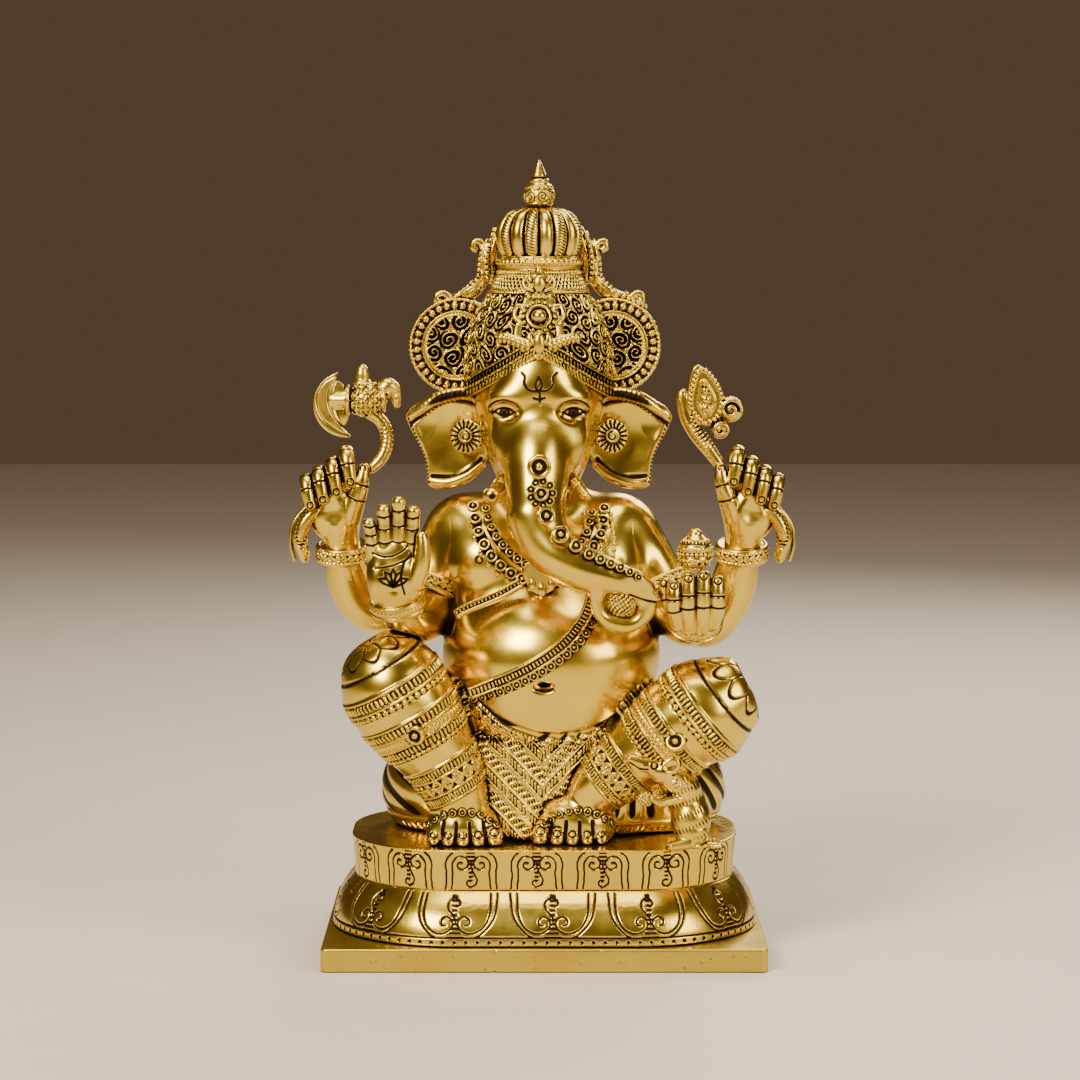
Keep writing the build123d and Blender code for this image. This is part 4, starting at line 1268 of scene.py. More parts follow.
def trunk():
    clay = limb_of("trunk", 1.6, HEAD, 5.0, 1.5, 0.4)
    middle = spot("trunk")
    at = face_places_on("trunk")
    # Wrinkles across the bridge of the trunk.
    for k in range(5):
        z = 45 - 3.6 * k
        half = 7.5 + 0.8 * k
        path = [at(-19.5 - half, z + 2.2), at(-19.5 - half / 2, z + 0.3), at(-19.3, z - 0.6),
                at(-19 + half / 2, z + 0.3),
                at(-19 + half, z + 2.2)]
        clay.cut(*tube(laid(clay, path, back=70), 0.32), blend=0.7)
    flower_centre = touch(clay, at(-18.6, 15))
    for turn in around(9):
        petal = touch(clay, at(-18.6 + 5.2 * math.cos(turn), 15 + 5.6 * math.sin(turn)))
        button(clay, petal, (0, -1, 0.1), 2.2)
    button(clay, flower_centre + (0, -0.6, 0), (0, -1, 0.1), 3.6)
    for u, v, radius in ((-19.6, 27.4, 5.8), (-16.4, 4.6, 4.4), (-9.8, -4.4, 4.2), (-2.6, -9.6, 3.2),
                         (3.6, -13.4, 2.6),
                         (8.8, -15.8, 2.4), (13.6, -17.8, 2.3), (18.2, -19.6, 2.2), (22.6, -21.6, 2.0),
                         (26.6, -24.0, 1.9)):
        place = touch(clay, at(u, v))
        button(clay, place, clay.normals(place[None])[0] + (0, -0.6, 0), radius)
    tip = [(*(middle + (22, -12, -27)), 4.6), (*(middle + (29, -13, -31.5)), 3.6),
           (*(middle + (36.6, -12, -35)), 0.9)]
    clay.add(*tube(curve(tip)), blend=1.6)
    crease = [at(22.5, -32.5), at(29, -35), at(35, -36.4)]
    engrave(clay, laid(clay, crease, back=70), 0.4)
    return clay


TRUNK = trunk()


def granular_ball(name, node, radius):
    """Sweet: a ball made of little crumbs."""
    clay = clay_over(node, FINE, 2.5)
    middle = spot(node)
    clay.add(ball(middle, radius - 0.9))
    golden = math.pi * (3 - math.sqrt(5))
    count = int(radius**2 * 3.4)
    crumbs = []
    for k in range(count):
        up = 1 - 2 * (k + 0.5) / count
        out = math.sqrt(1 - up * up)
        way = np.array((out * math.cos(golden * k), out * math.sin(golden * k), up))
        crumbs.append(ball(middle + way * (radius - 0.8), 0.85))
    clay.add(*crumbs, blend=0.15)
    show(name, clay, [node], ORNAMENT)


def tusk(name, node, side, length):
    clay = clay_over(node, FINE, 3.0)
    middle = spot(node)
    root, tip = middle + (-side * 4.8, 8.2, 4.6), middle + (side * length, -7.6, -4.2)
    clay.add(rod(root, tip, 4.0, 3.4 if side < 0 else 2.2))
    way = tip - root
    for k in (0.42, 0.5, 0.58):
        clay.add(hoop(root + way * k, way, 3.4 if side < 0 else 3.0, 0.55), blend=0.4)
    if side < 0:
        clay.add(egg(tip, (4.4, 3.6, 3.9)), blend=1)
    flange(clay, HEAD, 2.0)
    show(name, clay, [node], FIGURE)


def ear(name, node, side):
    """Ear: dished leaf with rolled upper and lower rims and a nicked outer edge."""
    clay = exact(node, 0.4, 0.9, 4.0)
    at = face_places_on(node, side)
    clay.cut(egg(at(-1, 2, -8), (15.5, 6.4, 17)), egg(at(9, 6, -7), (9, 4.6, 8)), blend=3)
    top = [(*at(-18, 16.5, -3.5), 2.4), (*at(-12, 20.6, -4), 3.0), (*at(-4, 22.0, -4.4), 3.4),
           (*at(6, 19.4, -4.4), 3.4),
           (*at(14, 14.2, -3), 2.9), (*at(19.5, 10.4, -1), 1.7)]
    foot = [(*at(-15, -12.5, -3), 2.4), (*at(-8, -18.0, -3.6), 2.9), (*at(0, -21, -3.4), 2.8),
            (*at(8.6, -21, -2), 1.9)]
    edge = [(*at(19, 9.6, -1), 1.4), (*at(15, 0.4, -1.2), 1.5), (*at(10.6, -10, -1.2), 1.5),
            (*at(9.2, -21, -1.2), 1.5)]
    clay.add(*tube(curve(top)), *tube(curve(foot)), *tube(curve(edge)), blend=1.6)
    for rim, drop in ((top, -3.6), (foot, 3.0)):
        below = [(x, y - 6, z + drop) for x, y, z, _ in rim]
        clay.cut(*tube(laid(clay, below, back=20), 0.8), blend=1.0, patina_and_shadow=True)
    nick_rows = curve([row[:3] for row in edge], 1.9)
    nicks = [rod(p + (side * 0.9, -3, 0.4), p + (side * 1.9, 3, -0.4), 0.42) for p in nick_rows]
    clay.cut(*nicks, blend=0.3)
    rib_rows = curve([row[:3] for row in top], 2.3)
    ways = np.gradient(rib_rows, axis=0)
    rib_cuts = [hoop(p, w, 3.5, 0.3) for p, w in zip(rib_rows[2:-3], ways[2:-3])]
    clay.cut(*rib_cuts, blend=0.4)
    flange(clay, HEAD, 2.5)
    show(name, clay, [node], FIGURE)


def earring(name, node, side):
    """Wheel-shaped earring: ribbed rim, spokes and a spiral."""
    clay = clay_over(node, FINE, 3.0)
    wheel = Frame(spot(node), (side * 0.35, -1, 0), (0, 0, 1))
    clay.add(egg(wheel.centre, (8.0, 3.4, 8.0), (wheel.u, wheel.w, wheel.v)))
    clay.add(hoop(wheel.at(0, 0, 2.0), wheel.w, 7.2, 1.35), blend=0.3)
    for angle in around(18):
        clay.add(rod(wheel.at(4.2, angle, 3.2), wheel.at(6.6, angle, 2.8), 0.55), blend=0.2)
        clay.cut(rod(wheel.at(8.2, angle, 0.2), wheel.at(8.9, angle, 3.0), 0.42), blend=0.2, patina_and_shadow=True)
        groove = rod(wheel.at(4.0, angle + 0.17, 3.6), wheel.at(7.6, angle + 0.17, 3.4), 0.4)
        clay.cut(groove, blend=0.2, patina_and_shadow=True)
    coil = spiral(1.6, 3.4, 0.6)
    clay.add(*tube([wheel.at(math.hypot(u, v), side * math.atan2(v, u), 3.6) for u, v in coil], 0.55),
             blend=0.2)
    show(name, clay, [node], ORNAMENT)


# ---------------------------------------------------------------- crown
def crown_cap():
    """Cap of the crown: close scrollwork between bands of beads and ticks."""
    clay = cast_from("crown_cap", 0.4, 1.6, grain=1.5)
    low, high = node_box("crown_cap")
    middle = spot("crown_cap", 0, 1, 0)

    def height(points):
        q = points - middle
        angle = np.arctan2(q[:, 0], -q[:, 1])
        rho = np.hypot(q[:, 0], q[:, 1])
        up = points[:, 2] - low[2]
        around = angle * 34.0
        ground = 2.3 * warped(around, up, 9.0) - 1.45
        bands = stacked([(2.0, 2.8, "beads", 1.0), (4.6, 2.0, "ticks", 0.8), (56.0, 1.6, "rope", 0.9),
                         (60.5, 6.4, "lattice", 0.8), (65.4, 2.4, "beads", 1.0)], around, up)
        # Two hatched fans climb from the brow band to the sides.
        rise = up - (24.5 - 0.62 * np.abs(q[:, 0]))
        fan = stacked([(3.4, 1.4, "line", 1.0), (7.2, 6.0, "ticks", 0.9), (10.9, 1.6, "rope", 1.0)],
                      np.abs(q[:, 0]) * 1.18, rise)
        ground = np.where((np.abs(rise - 7.4) < 4.6) & (q[:, 1] < 0), fan, ground)
        made = np.where((up > 6) & (up < 55), ground, bands)
        return np.where(rho > 12, made, 0)

    clay.relief(low - 3, high + 3, height, 2.2)
    show("crown_cap_relief", clay, ["crown_cap"], ORNAMENT)


def headband():
    clay = exact("headband", FINE, 0.35, 3.0)
    low, high = node_box("headband")
    middle = spot("headband")

    def height(points):
        across = np.abs(points[:, 0] - middle[0])
        v = (points[:, 2] - (high[2] - 6.0 - 0.62 * across)) * 0.85
        return stacked([(0.6, 1.3, "rope", 0.8), (2.4, 1.9, "ticks", 0.7), (4.4, 1.7, "beads", 0.9)],
                       across * 1.18, v)

    clay.relief(low - 2, high + 2, height, 2.0)
    show("headband_strip", clay, ["headband"], ORNAMENT)


def crest():
    """Tall jewel at the front of the crown, leaning back with it, with a feather to each side."""
    clay = exact("crown_crest", FINE, 0.5, 14.0)
    plate = Frame(spot("crown_crest", 0, -3, 0), (0, 0.41, 0.91), (1, 0, 0))

    def at(u, v, out=0.0):
        return plate.centre + u * plate.u + v * plate.w - out * plate.v * np.sign(plate.v[1])

    clay.add(hoop(at(0, -1), plate.v, 5.4, 1.0), blend=0.4)
    clay.add(egg(at(0, -1, 0.6), (3.8, 3.8, 3.4)), blend=0.2)
    ring_beads = [ball(at(7.6 * math.cos(a), -1 + 7.6 * math.sin(a)), 1.0)
                  for a in around(16)]
    clay.add(*ring_beads, blend=0.2)
    clay.add(egg(at(0, -15, 0.5), (3.0, 2.2, 5.4)), egg(at(-4.4, -13.6), (1.9, 1.8, 4.2)),
             egg(at(4.4, -13.6), (1.9, 1.8, 4.2)), blend=0.3)
    clay.add(*[ball(at(u, 9.2), 1.35) for u in (-5.0, -2.5, 0, 2.5, 5.0)], blend=0.2)
    clay.add(egg(at(0, 15.6, 0.3), (3.1, 2.2, 4.6)), egg(at(0, 22), (1.8, 1.6, 3.0)), blend=0.4)
    for s in (-1, 1):
        curl = [(s * 3.2, 12.2), (s * 6.6, 14.0), (s * 7.4, 17.6), (s * 5.2, 19.4), (s * 3.8, 17.6)]
        clay.add(*tube(curve([at(u, v, 0.4) for u, v in curl]), 0.85), blend=0.3)
    for s in (-1, 1):
        vane = ((3, -14.5, 0), (9, -12.8, 0), (15, -10, -1.6), (20, -9, -4))
        quill = curve([at(s * u, v, w) for u, v, w in vane])
        clay.add(*tube(quill, 1.3), blend=0.3)
        for k, p in enumerate(quill[4::4]):
            clay.add(egg(p - 2.3 * plate.w * (1 - 0.04 * k), (1.3, 1.5, 2.4)), blend=0.2)
        side_curl = [(s * 8.6, -4), (s * 11.6, 0), (s * 10.6, 4.6), (s * 7.6, 4.2), (s * 8.4, 1.4)]
        clay.add(*tube(curve([at(u, v, -1.2) for u, v in side_curl]), 1.3), blend=0.4)
    show("crest_jewel", clay, ["crown_crest"], ORNAMENT)


def crown_wing(name, node, side):
    """Pierced-looking side disc: scalloped bead rim, plain ring and scrollwork."""
    clay = exact(node, 0.4, 0.5, 3.0)
    low, high = node_box(node)
    radius = (high[2] - low[2]) / 2
    centre = (low + high) / 2
    centre[0] = low[0] + radius if side < 0 else high[0] - radius

    def height(points):
        q = points - centre
        rho, angle = np.hypot(q[:, 0], q[:, 2]), np.arctan2(q[:, 2], side * q[:, 0])
        s = angle * radius * 0.9
        rims = stacked([(radius - 0.9, 1.6, "rope", 0.8), (radius - 4.0, 4.2, "beads", 1.5),
                        (radius - 6.9, 1.5, "line", 1.1), (radius - 8.6, 1.5, "rope", 0.9)], s, rho)
        ground = 2.4 * warped(side * q[:, 0], q[:, 2], 9.8) - 1.6
        face = np.abs(q[:, 1]) > 2.0
        return np.where(face, np.where(rho < radius - 9.4, ground, rims), 0)

    clay.relief(low - 3, high + 3, height, 2.2)
    notches = []
    for a in around(44):
        spoke = centre + np.array((math.cos(a), 0, math.sin(a))) * (radius + 0.5)
        notches.append(rod(spoke - (0, 5, 0), spoke + (0, 5, 0), 0.75))
    clay.cut(*notches, blend=0.5)
    show(name, clay, [node], ORNAMENT)


def crown_scroll(name, node, side):
    """Two beaded S-shaped bands that rise to the dome."""
    clay = exact(node, FINE, 0.6, 3.0)
    rise = [(-16.4, -18), (-8, -14), (-1, -10), (5, -4), (6, 4), (7.5, 12)]
    inner = [(10, -4), (9.4, 6), (11.4, 14), (13, 19.5)]
    for line in (rise, inner):
        path = [spot(node, -side * u, -2, v) for u, v in line]
        rows = laid(clay, path, back=14, step=0.8)
        beads(clay, rows[::3], 1.25, 2.7)
        for off in (-2.4, 2.4):
            clay.add(*tube(laid(clay, [p + (off, 0, off * 0.4) for p in rows[::4]], back=14), 0.8),
                     blend=0.3)
    for curl in ([(7.5, 10), (6.4, 13.2), (3.6, 13.6), (2.8, 11.0), (4.4, 9.8)],
                 [(-8, -14.4), (-11.5, -11.6), (-14.6, -12.4), (-14.8, -15.2), (-12.4, -15.8)]):
        clay.add(*tube(curve([spot(node, -side * u, -2.5, v) for u, v in curl]), 1.6), blend=0.6)
    show(name, clay, [node], ORNAMENT)


def neck_ring():
    clay = exact("crown_neck_ring", FINE, 0.4, 3.0)
    middle = spot("crown_neck_ring")
    balls = [ball(middle + (20.0 * math.cos(a), 20.0 * math.sin(a), 0), 1.5) for a in around(44)]
    clay.add(*balls, blend=0.2)
    clay.add(hoop(middle + (0, 0, 2.4), (0, 0, 1), 18.4, 0.8),
             hoop(middle - (0, 0, 2.4), (0, 0, 1), 19.0, 0.8), blend=0.3)
    show("neck_ring_beads", clay, ["crown_neck_ring"], ORNAMENT)


def dome():
    """Melon dome: round ribs, every other one cross-hatched."""
    clay = clay_over("crown_dome", FINE, 3.0)
    middle = spot("crown_dome")
    profile = [(4, 12.2), (9, 11.6), (14.4, 9.2), (17.2, 4.6), (17.8, -0.5), (16.2, -6.5), (12.5, -10.4)]
    ribs = 16
    clay.add(egg(middle, (18.4, 18.4, 11.4)))
    for a in around(ribs, 0.5):
        meridian = curve([(*(middle + (r * math.cos(a), r * math.sin(a), z)), 1.6 + r * 0.11)
                          for r, z in profile], 1.0)
        clay.add(*tube(meridian), blend=1.1)

    def height(points):
        q = points - middle
        turn = (np.arctan2(q[:, 1], q[:, 0]) / (2 * math.pi) * ribs) % 1.0
        which = np.floor(np.arctan2(q[:, 1], q[:, 0]) / (2 * math.pi) * ribs) % 2
        hatch = 0.3 * ridge(cell(q[:, 2] + (turn - 0.5) * 3, 1.5) / 0.5) - 0.22
        seam = 0.45 * ridge((np.abs(turn - 0.5) - 0.5) / 0.07)
        return np.where(which > 0, hatch, 0) * bump((turn - 0.5) / 0.62) - seam

    clay.relief(middle - 25, middle + 25, height, 2.0)
    clay.add(hoop(middle + (0, 0, 11.6), (0, 0, 1), 7.2, 1.3), blend=0.4)
    show("dome_ribs", clay, ["crown_dome"], ORNAMENT)


def finial():
    """Barrel-shaped pot with engraved panels, a ring and a smooth cone."""
    clay = clay_over("crown_finial", 0.25, 2.0)
    low, high = node_box("crown_finial")
    middle = spot("crown_finial")

    def at(up):
        return np.array((middle[0], middle[1], low[2] + up))

    tall = high[2] - low[2]
    clay.add(egg(at(9.4), (7.5, 7.5, 8.0)), egg(at(1.6), (6.4, 6.4, 1.9)), blend=0.5)
    clay.add(hoop(at(16.6), (0, 0, 1), 3.7, 1.3), blend=0.3)
    clay.add(rod(at(19.4), at(tall - 2.6), 3.7, 1.6), rod(at(tall - 2.6), at(tall - 0.8), 1.6, 0.7),
             blend=0.4)
    clay.cut(hoop(at(18.0), (0, 0, 1), 3.9, 0.5), hoop(at(3.4), (0, 0, 1), 6.7, 0.45), blend=0.2, patina_and_shadow=True)

    def height(points):
        q = points - middle
        s, up = np.arctan2(q[:, 1], q[:, 0]) * 7.6, points[:, 2] - low[2]
        panels = [(5.4, 1.0, "line", 0.5), (9.8, 7.4, "swirls", 0.45), (14.4, 1.0, "line", 0.5)]
        return stacked(panels, s, up)

    clay.relief(low - 2, high + 2, height, 1.6)
    show("finial_pot", clay, ["crown_finial"], ORNAMENT)


# ---------------------------------------------------------------- arms and hands
def arm(name, node, blend=6.0):
    clay = limb_of(node, 2.2, BODY, blend)
    show(name, clay, [node], FIGURE)


def finger(clay, path, radii, nail_way, creases=(0.38, 0.68)):
    """Finger along a path, with creases at its joints and a nail that faces nail_way."""
    rows = curve([(*p, r) for p, r in zip(path, radii)], 0.8)
    clay.add(*tube(rows), blend=0.5)
    ways = np.gradient(rows[:, :3], axis=0)
    for share in creases:
        k = int(share * (len(rows) - 1))
        clay.cut(hoop(rows[k, :3], ways[k], rows[k, 3] * 1.02, 0.34), blend=0.5, patina_and_shadow=True)
    way = np.array(nail_way, float) / np.linalg.norm(nail_way)
    tip = rows[-1, :3] + way * rows[-1, 3] * 0.86
    clay.cut(hoop(tip, way, rows[-1, 3] * 0.52, 0.26), blend=0.15, patina_and_shadow=True)


def rear_hand(name, node, side):
    """Raised hand: palm forward, thumb up along the shaft, four fingers bent over."""
    clay = clay_over(node, FINE, 3.0)
    at = places_on(node, side)
    palm = [(*at(-3, 6.5, -24), 8.6), (*at(-2, 4.4, -16), 9.6), (*at(-1.4, 3.0, -7), 10.6),
            (*at(0.4, 2.6, 0), 9.6)]
    clay.add(*tube(curve(palm, 2.0)), blend=2)
    clay.cut(slab(at(0, 15.5, -8), (20, 6, 22), edge=3), blend=3)
    clay.add(egg(at(-5.4, 0, -7), (6.2, 6.6, 11)), egg(at(6.6, 1, -9), (5.4, 6, 9)), blend=3)
    clay.cut(egg(at(1.5, -9.5, -6), (4.5, 3.6, 6.5)), blend=3)
    thumb = [at(-7.0, -1.5, -9), at(-10.4, -4.2, 0.5), at(-13.0, -5.0, 9), at(-14.2, -4.6, 15.6)]
    finger(clay, thumb, (5.6, 4.7, 3.9, 2.7), (0.2 * side, -1, 0.1), (0.45, 0.72))
    knuckles = ((-6.6, 23.6, 13.0), (0.2, 18.6, 8.2), (6.8, 14.2, 4.4), (13.0, 10.4, 1.6))
    for k, (u, top, low) in enumerate(knuckles):
        thick = 3.9 - 0.12 * k
        path = [at(u - 0.8, 4, low - 9), at(u + 0.6, 5.4, low + 2), at(u + 1.2, 3.6, top - 2.6),
                at(u + 1.2, -2.2, top - 0.8),
                at(u + 0.4, -6.0, top - 5), at(u - 1.2, -7.2, low - 3.5)]
        finger(clay, path, (3.8, thick, thick, thick, thick - 0.2, thick - 0.7), (0, -1, -0.1),
               (0.45, 0.66, 0.8))
    for a, b in ((-3.2, 16), (3.4, 11), (9.8, 7.4)):
        groove = [at(a, -9.4, b - 13), at(a + 0.6, -9.8, b - 4), at(a + 1.2, -5, b + 3.6)]
        clay.cut(*tube(curve(groove), 0.5), blend=0.6)
    show(name, clay, [node], FIGURE)


def bracelet(name, node, way, radius, bands, half, bulge=1.7):
    """Ring ornament: a rounded band round a wrist or an arm, with its pattern."""
    clay = exact(node, FINE, 0.4, 3.0)
    middle = spot(node)
    hoop_axis = Frame(middle, way)

    def height(points):
        rho, angle, along = hoop_axis.coordinates(points)
        return np.where(rho > radius, stacked(bands, angle * (radius + 2), along), 0)

    low, high = node_box(node)
    clay.add(hoop(hoop_axis.at(0, 0, half), hoop_axis.w, radius + bulge, 0.9),
             hoop(hoop_axis.at(0, 0, -half), hoop_axis.w, radius + bulge, 0.9), blend=0.4)
    clay.relief(low - 2, high + 2, height, 1.8)
    show(name, clay, [node], ORNAMENT)


def ribbon(name, node, side):
    """Ribbed cord end that hangs from the raised hand."""
    clay = exact(node, FINE, 0.5, 3.0)
    line = [(-8.5, 2.4, 12.5), (-2.0, 0.6, 10.2), (3.6, -0.4, 3.5), (4.6, -0.6, -4.4), (2.8, -0.6, -12)]
    rows = curve([spot(node, side * u, y, v) for u, y, v in line], 1.0)
    ways = np.gradient(rows, axis=0)
    clay.cut(*[hoop(p, w, 5.2, 0.5) for p, w in zip(rows[1::2], ways[1::2])], blend=0.3)
    for off in (-1, 1):
        edge = [p + np.cross(w / np.linalg.norm(w), (0, 1, 0)) * off * 3.6 for p, w in zip(rows, ways)]
        clay.add(*tube(edge, 0.9), blend=0.4)
    show(name, clay, [node], ORNAMENT)


def blessing_hand():
    """Open right palm, fingers up, with creased joints and a plain lotus mark."""
    name, node = "blessing_hand", "front_right_hand"
    clay = clay_over(node, FINE, 3.0)
    at = places_on(node)
    clay.add(egg(at(-0.6, 0.5, -9), (13.2, 6.2, 14.5)), egg(at(-0.4, 1.4, -20), (10, 6, 9)), blend=4)
    clay.add(egg(at(7.4, -2.2, -12), (6, 5.4, 11)), egg(at(-8, -2, -14), (5, 4.6, 10)), blend=3)
    clay.add(egg(at(-1, -0.2, 0), (11.4, 4.4, 7)), blend=4)
    tips = ((-12.6, 16.6, 3.1), (-5.8, 23.2, 3.4), (1.4, 27.0, 3.5), (8.4, 22.6, 3.4))
    for u, top, radius in tips:
        path = [at(u * 0.78, 1.6, -7), at(u * 0.86, -0.9, 3), at(u * 0.93, -1.6, (top + 4) * 0.52),
                at(u, -2.4, top - radius)]
        finger(clay, path, (radius + 0.4, radius + 0.3, radius, radius - 0.2), (0, 1, 0.2), ())
        for share in (0.12, 0.42, 0.7):
            z = 2 + (top - 2) * share
            pad = at(u * (0.88 + 0.12 * share), -2, z)
            line = [pad + (-radius * 0.85, -3, 0.3), pad + (0, -3.4, -0.3), pad + (radius * 0.85, -3, 0.3)]
            clay.cut(*tube(laid(clay, line, back=10), 0.32), blend=0.3, patina_and_shadow=True)
    thumb = [at(9, -3.4, -14), at(12.2, -5.4, -5), at(12.8, -5.8, 3), at(12.4, -5.6, 7.6)]
    finger(clay, thumb, (4.8, 4.2, 3.5, 2.8), (1, 0, 0.2), ())
    creases = (
        [(-10.8, 0), (-6, -1.6), (-1, -1.2), (4, 1.6), (6, 4.5)],
        [(8.6, -1), (4, -3.5), (-2, -6), (-9.6, -7)],
        [(7.4, 0), (3.6, -5.5), (2.6, -12), (4.2, -19)],
    )
    for line in creases:
        clay.cut(*tube(laid(clay, [at(u, 0, v) for u, v in line], back=20), 0.34), blend=0.5, patina_and_shadow=True)
    for k in range(5):
        a = math.pi * (0.14 + 0.18 * k)
        tip = (7.6 * math.cos(a) - 1, 7.6 * math.sin(a) - 15)
        bend = (4.4 * math.cos(a + 0.25) - 1, 4.8 * math.sin(a + 0.25) - 15)
        back = (4.4 * math.cos(a - 0.25) - 1, 4.8 * math.sin(a - 0.25) - 15)
        for u, v in (bend, back):
            engrave(clay, laid(clay, [at(-1, 0, -16), at(u, 0, v), at(tip[0], 0, tip[1])], back=20), 0.36)
    show(name, clay, [node], FIGURE)


def pot_hand():
    """Cupped left hand: four fingers stand in front of the pot."""
    name, node = "pot_hand", "front_left_hand"
    clay = clay_over(node, FINE, 3.0)
    at = places_on(node)
    clay.add(egg(at(0.4, 1.6, -6), (12.6, 8.4, 12)), egg(at(0.4, 5, -14), (9.4, 8, 8)), blend=4)
    columns = ((-10.2, -8.5, 8.6, 3.6), (-3.5, -10, 12.2, 3.8), (3.6, -10, 13.4, 3.8), (10.3, -8, 11.0, 3.6))
    for u, low, top, radius in columns:
        path = [at(u * 0.8, -2, low - 5), at(u * 0.98, -7.0, low + 3), at(u, -8.2, (low + top) / 2),
                at(u, -7.6, top - radius)]
        finger(clay, path, (radius, radius + 0.2, radius, radius - 0.3), (0, -1, 0.25), (0.5, 0.74))
    for a in (-6.9, 0, 6.9):
        clay.cut(*tube(curve([at(a * 0.86, -9, -13), at(a, -12, -3), at(a, -11.6, 10)]), 0.55), blend=0.6)
    thumb = [at(-9, 2, -8), at(-13.4, -1, 0), at(-14, -3, 6)]
    finger(clay, thumb, (4.4, 3.8, 3.0), (-0.4, -1, 0.2), (0.6,))
    show(name, clay, [node], FIGURE)


def pot():
    """Ringed pot with a domed lid and a knob."""
    clay = exact("sweet_pot", 0.25, 0.25, 2.0)
    low, high = node_box("sweet_pot")
    middle = spot("sweet_pot")

    def height(points):
        q = points - middle
        s, down = np.arctan2(q[:, 1], q[:, 0]) * 8, high[2] - points[:, 2]
        return stacked([(6.4, 2.4, "leaves", 0.5), (9.4, 1.2, "rope", 0.6), (12.0, 2.2, "beads", 0.7),
                        (14.8, 1.1, "rope", 0.6), (17.4, 2.4, "lattice", 0.5), (20.4, 1.2, "rope", 0.5)],
                        s, down)

    clay.relief(low - 2, high + 2, height, 1.6)
    show("pot_rings", clay, ["sweet_pot"], ORNAMENT)


# ---------------------------------------------------------------- attributes in the raised hands
def axe():
    """Crescent blade, quilted socket, knob and beaked scroll."""
    clay = exact("axe_head", FINE, 0.45, 3.0)
    at = face_places_on("axe_head")
    low, high = node_box("axe_head")
    socket = at(4.4, 0.2)

    def height(points):
        q = points - socket
        seams = [ridge(cell(q[:, 0] + lean * q[:, 2], 4.6) / 0.7) for lean in (1, -1)]
        quilt = 0.8 * (1 - np.minimum(1, seams[0] + seams[1]))
        inside = np.hypot(q[:, 0] / 10.4, q[:, 2] / 8.6) < 1
        return np.where(inside, quilt, 0)

    clay.relief(low - 2, high + 2, height, 1.8)
    clay.add(egg(at(-11.5, 0.6), (7.4, 1.7, 9.2)), egg(at(-9.5, -7.2), (5.2, 1.5, 6.4)), blend=1.5)
    clay.add(hoop(at(-4.6, 0.2), (1, 0, 0), 6.6, 1.0), hoop(at(13.0, 0.6), (1, 0, 0), 5.4, 1.0), blend=0.3)
    clay.add(hoop(at(4.4, 8.0), (0, 0, 1), 4.2, 1.0), blend=0.3)
    for y in (-1, 1):
        curl = [at(u, v, y * 2.6) for u, v in ((15, 6), (18.5, 8.2), (20.4, 4.4), (18.6, 1.6), (16.8, 3.2))]
        clay.add(*tube(curve(curl), 0.9), ball(at(15.6, 3.6, y * 3.2), 1.4), blend=0.3)
        rim = [at(u, v, y * 1.2) for u, v in ((-9.6, 12.6), (-16.6, 8.5), (-20.0, 1.0), (-17.6, -8),
                                              (-10, -14.6), (-4, -17))]
        clay.cut(*tube(laid(clay, rim, (0, -y, 0), 8), 0.4), blend=0.4)
        face = [at(u, v) for u, v in ((-12, 9.4), (-14.6, 2.0), (-12.6, -6.6), (-6.4, -13.6))]
        clay.cut(*tube(laid(clay, face, (0, -y, 0), 8), 0.4), blend=0.4)
    show("axe_blade_and_socket", clay, ["axe_head"], ORNAMENT)


def ribbed_shaft(name, node, line, radius):
    """Shaft with close rings."""
    clay = exact(node, FINE, 0.4, 3.0)
    rows = curve([spot(node, *p) for p in line], 1.1)
    ways = np.gradient(rows, axis=0)
    clay.cut(*[hoop(p, w, radius, 0.42) for p, w in zip(rows[1:-1:2], ways[1:-1:2])], blend=0.25)
    show(name, clay, [node], ORNAMENT)


def goad():
    """Lotus-leaf head with a stepped edge, side scrolls and a ribbed stem."""
    clay = exact("lotus_goad", FINE, 0.45, 3.0)
    at = face_places_on("lotus_goad")
    for y in (-1, 1):
        leaf = [at(u, v) for u, v in ((-3.4, -3), (-9.0, 4), (-8.8, 13), (-4.6, 23.4), (2, 18.4), (6, 9),
                                      (3.6, 0), (-2, -3))]
        rows = laid(clay, leaf, (0, -y, 0), 9)
        beads(clay, rows[::4], 1.05, 2.3)
        heart = [at(u, v) for u, v in ((-2.6, 1), (-5.6, 6.4), (-5, 12.4), (-3.6, 17.6), (0.4, 13),
                                       (2.2, 7.4), (0, 2))]
        clay.add(*tube(laid(clay, heart, (0, -y, 0), 9), 0.7), blend=0.3)
        seeds = [touch(clay, at(-1.6 - 0.4 * k, 4.4 + 4.2 * k), (0, -y, 0), 9) for k in range(4)]
        clay.add(*[egg(seed, (2.5 - 0.4 * k, 1.5, 2.2)) for k, seed in enumerate(seeds)], blend=0.3)
        for u, v, size in ((10, 3.7, 5.4), (5, -6.3, 3.8)):
            coil = [at(u + a, v + b, -y * 3.2) for a, b in spiral(1.5, size, 0.8)]
            clay.add(*tube(coil, 0.95), blend=0.3)
    line = ((-12.6, 0.9, 4), (-11.4, 0.9, 0), (-7, 0.9, -8), (-1, 0, -15.6), (4, -2, -22))
    stem = curve([spot("lotus_goad", *p) for p in line], 1.1)
    ways = np.gradient(stem, axis=0)
    clay.cut(*[hoop(p, w, 4.0, 0.42) for p, w in zip(stem[4::2], ways[4::2])], blend=0.25)
    show("goad_lotus", clay, ["lotus_goad"], ORNAMENT)


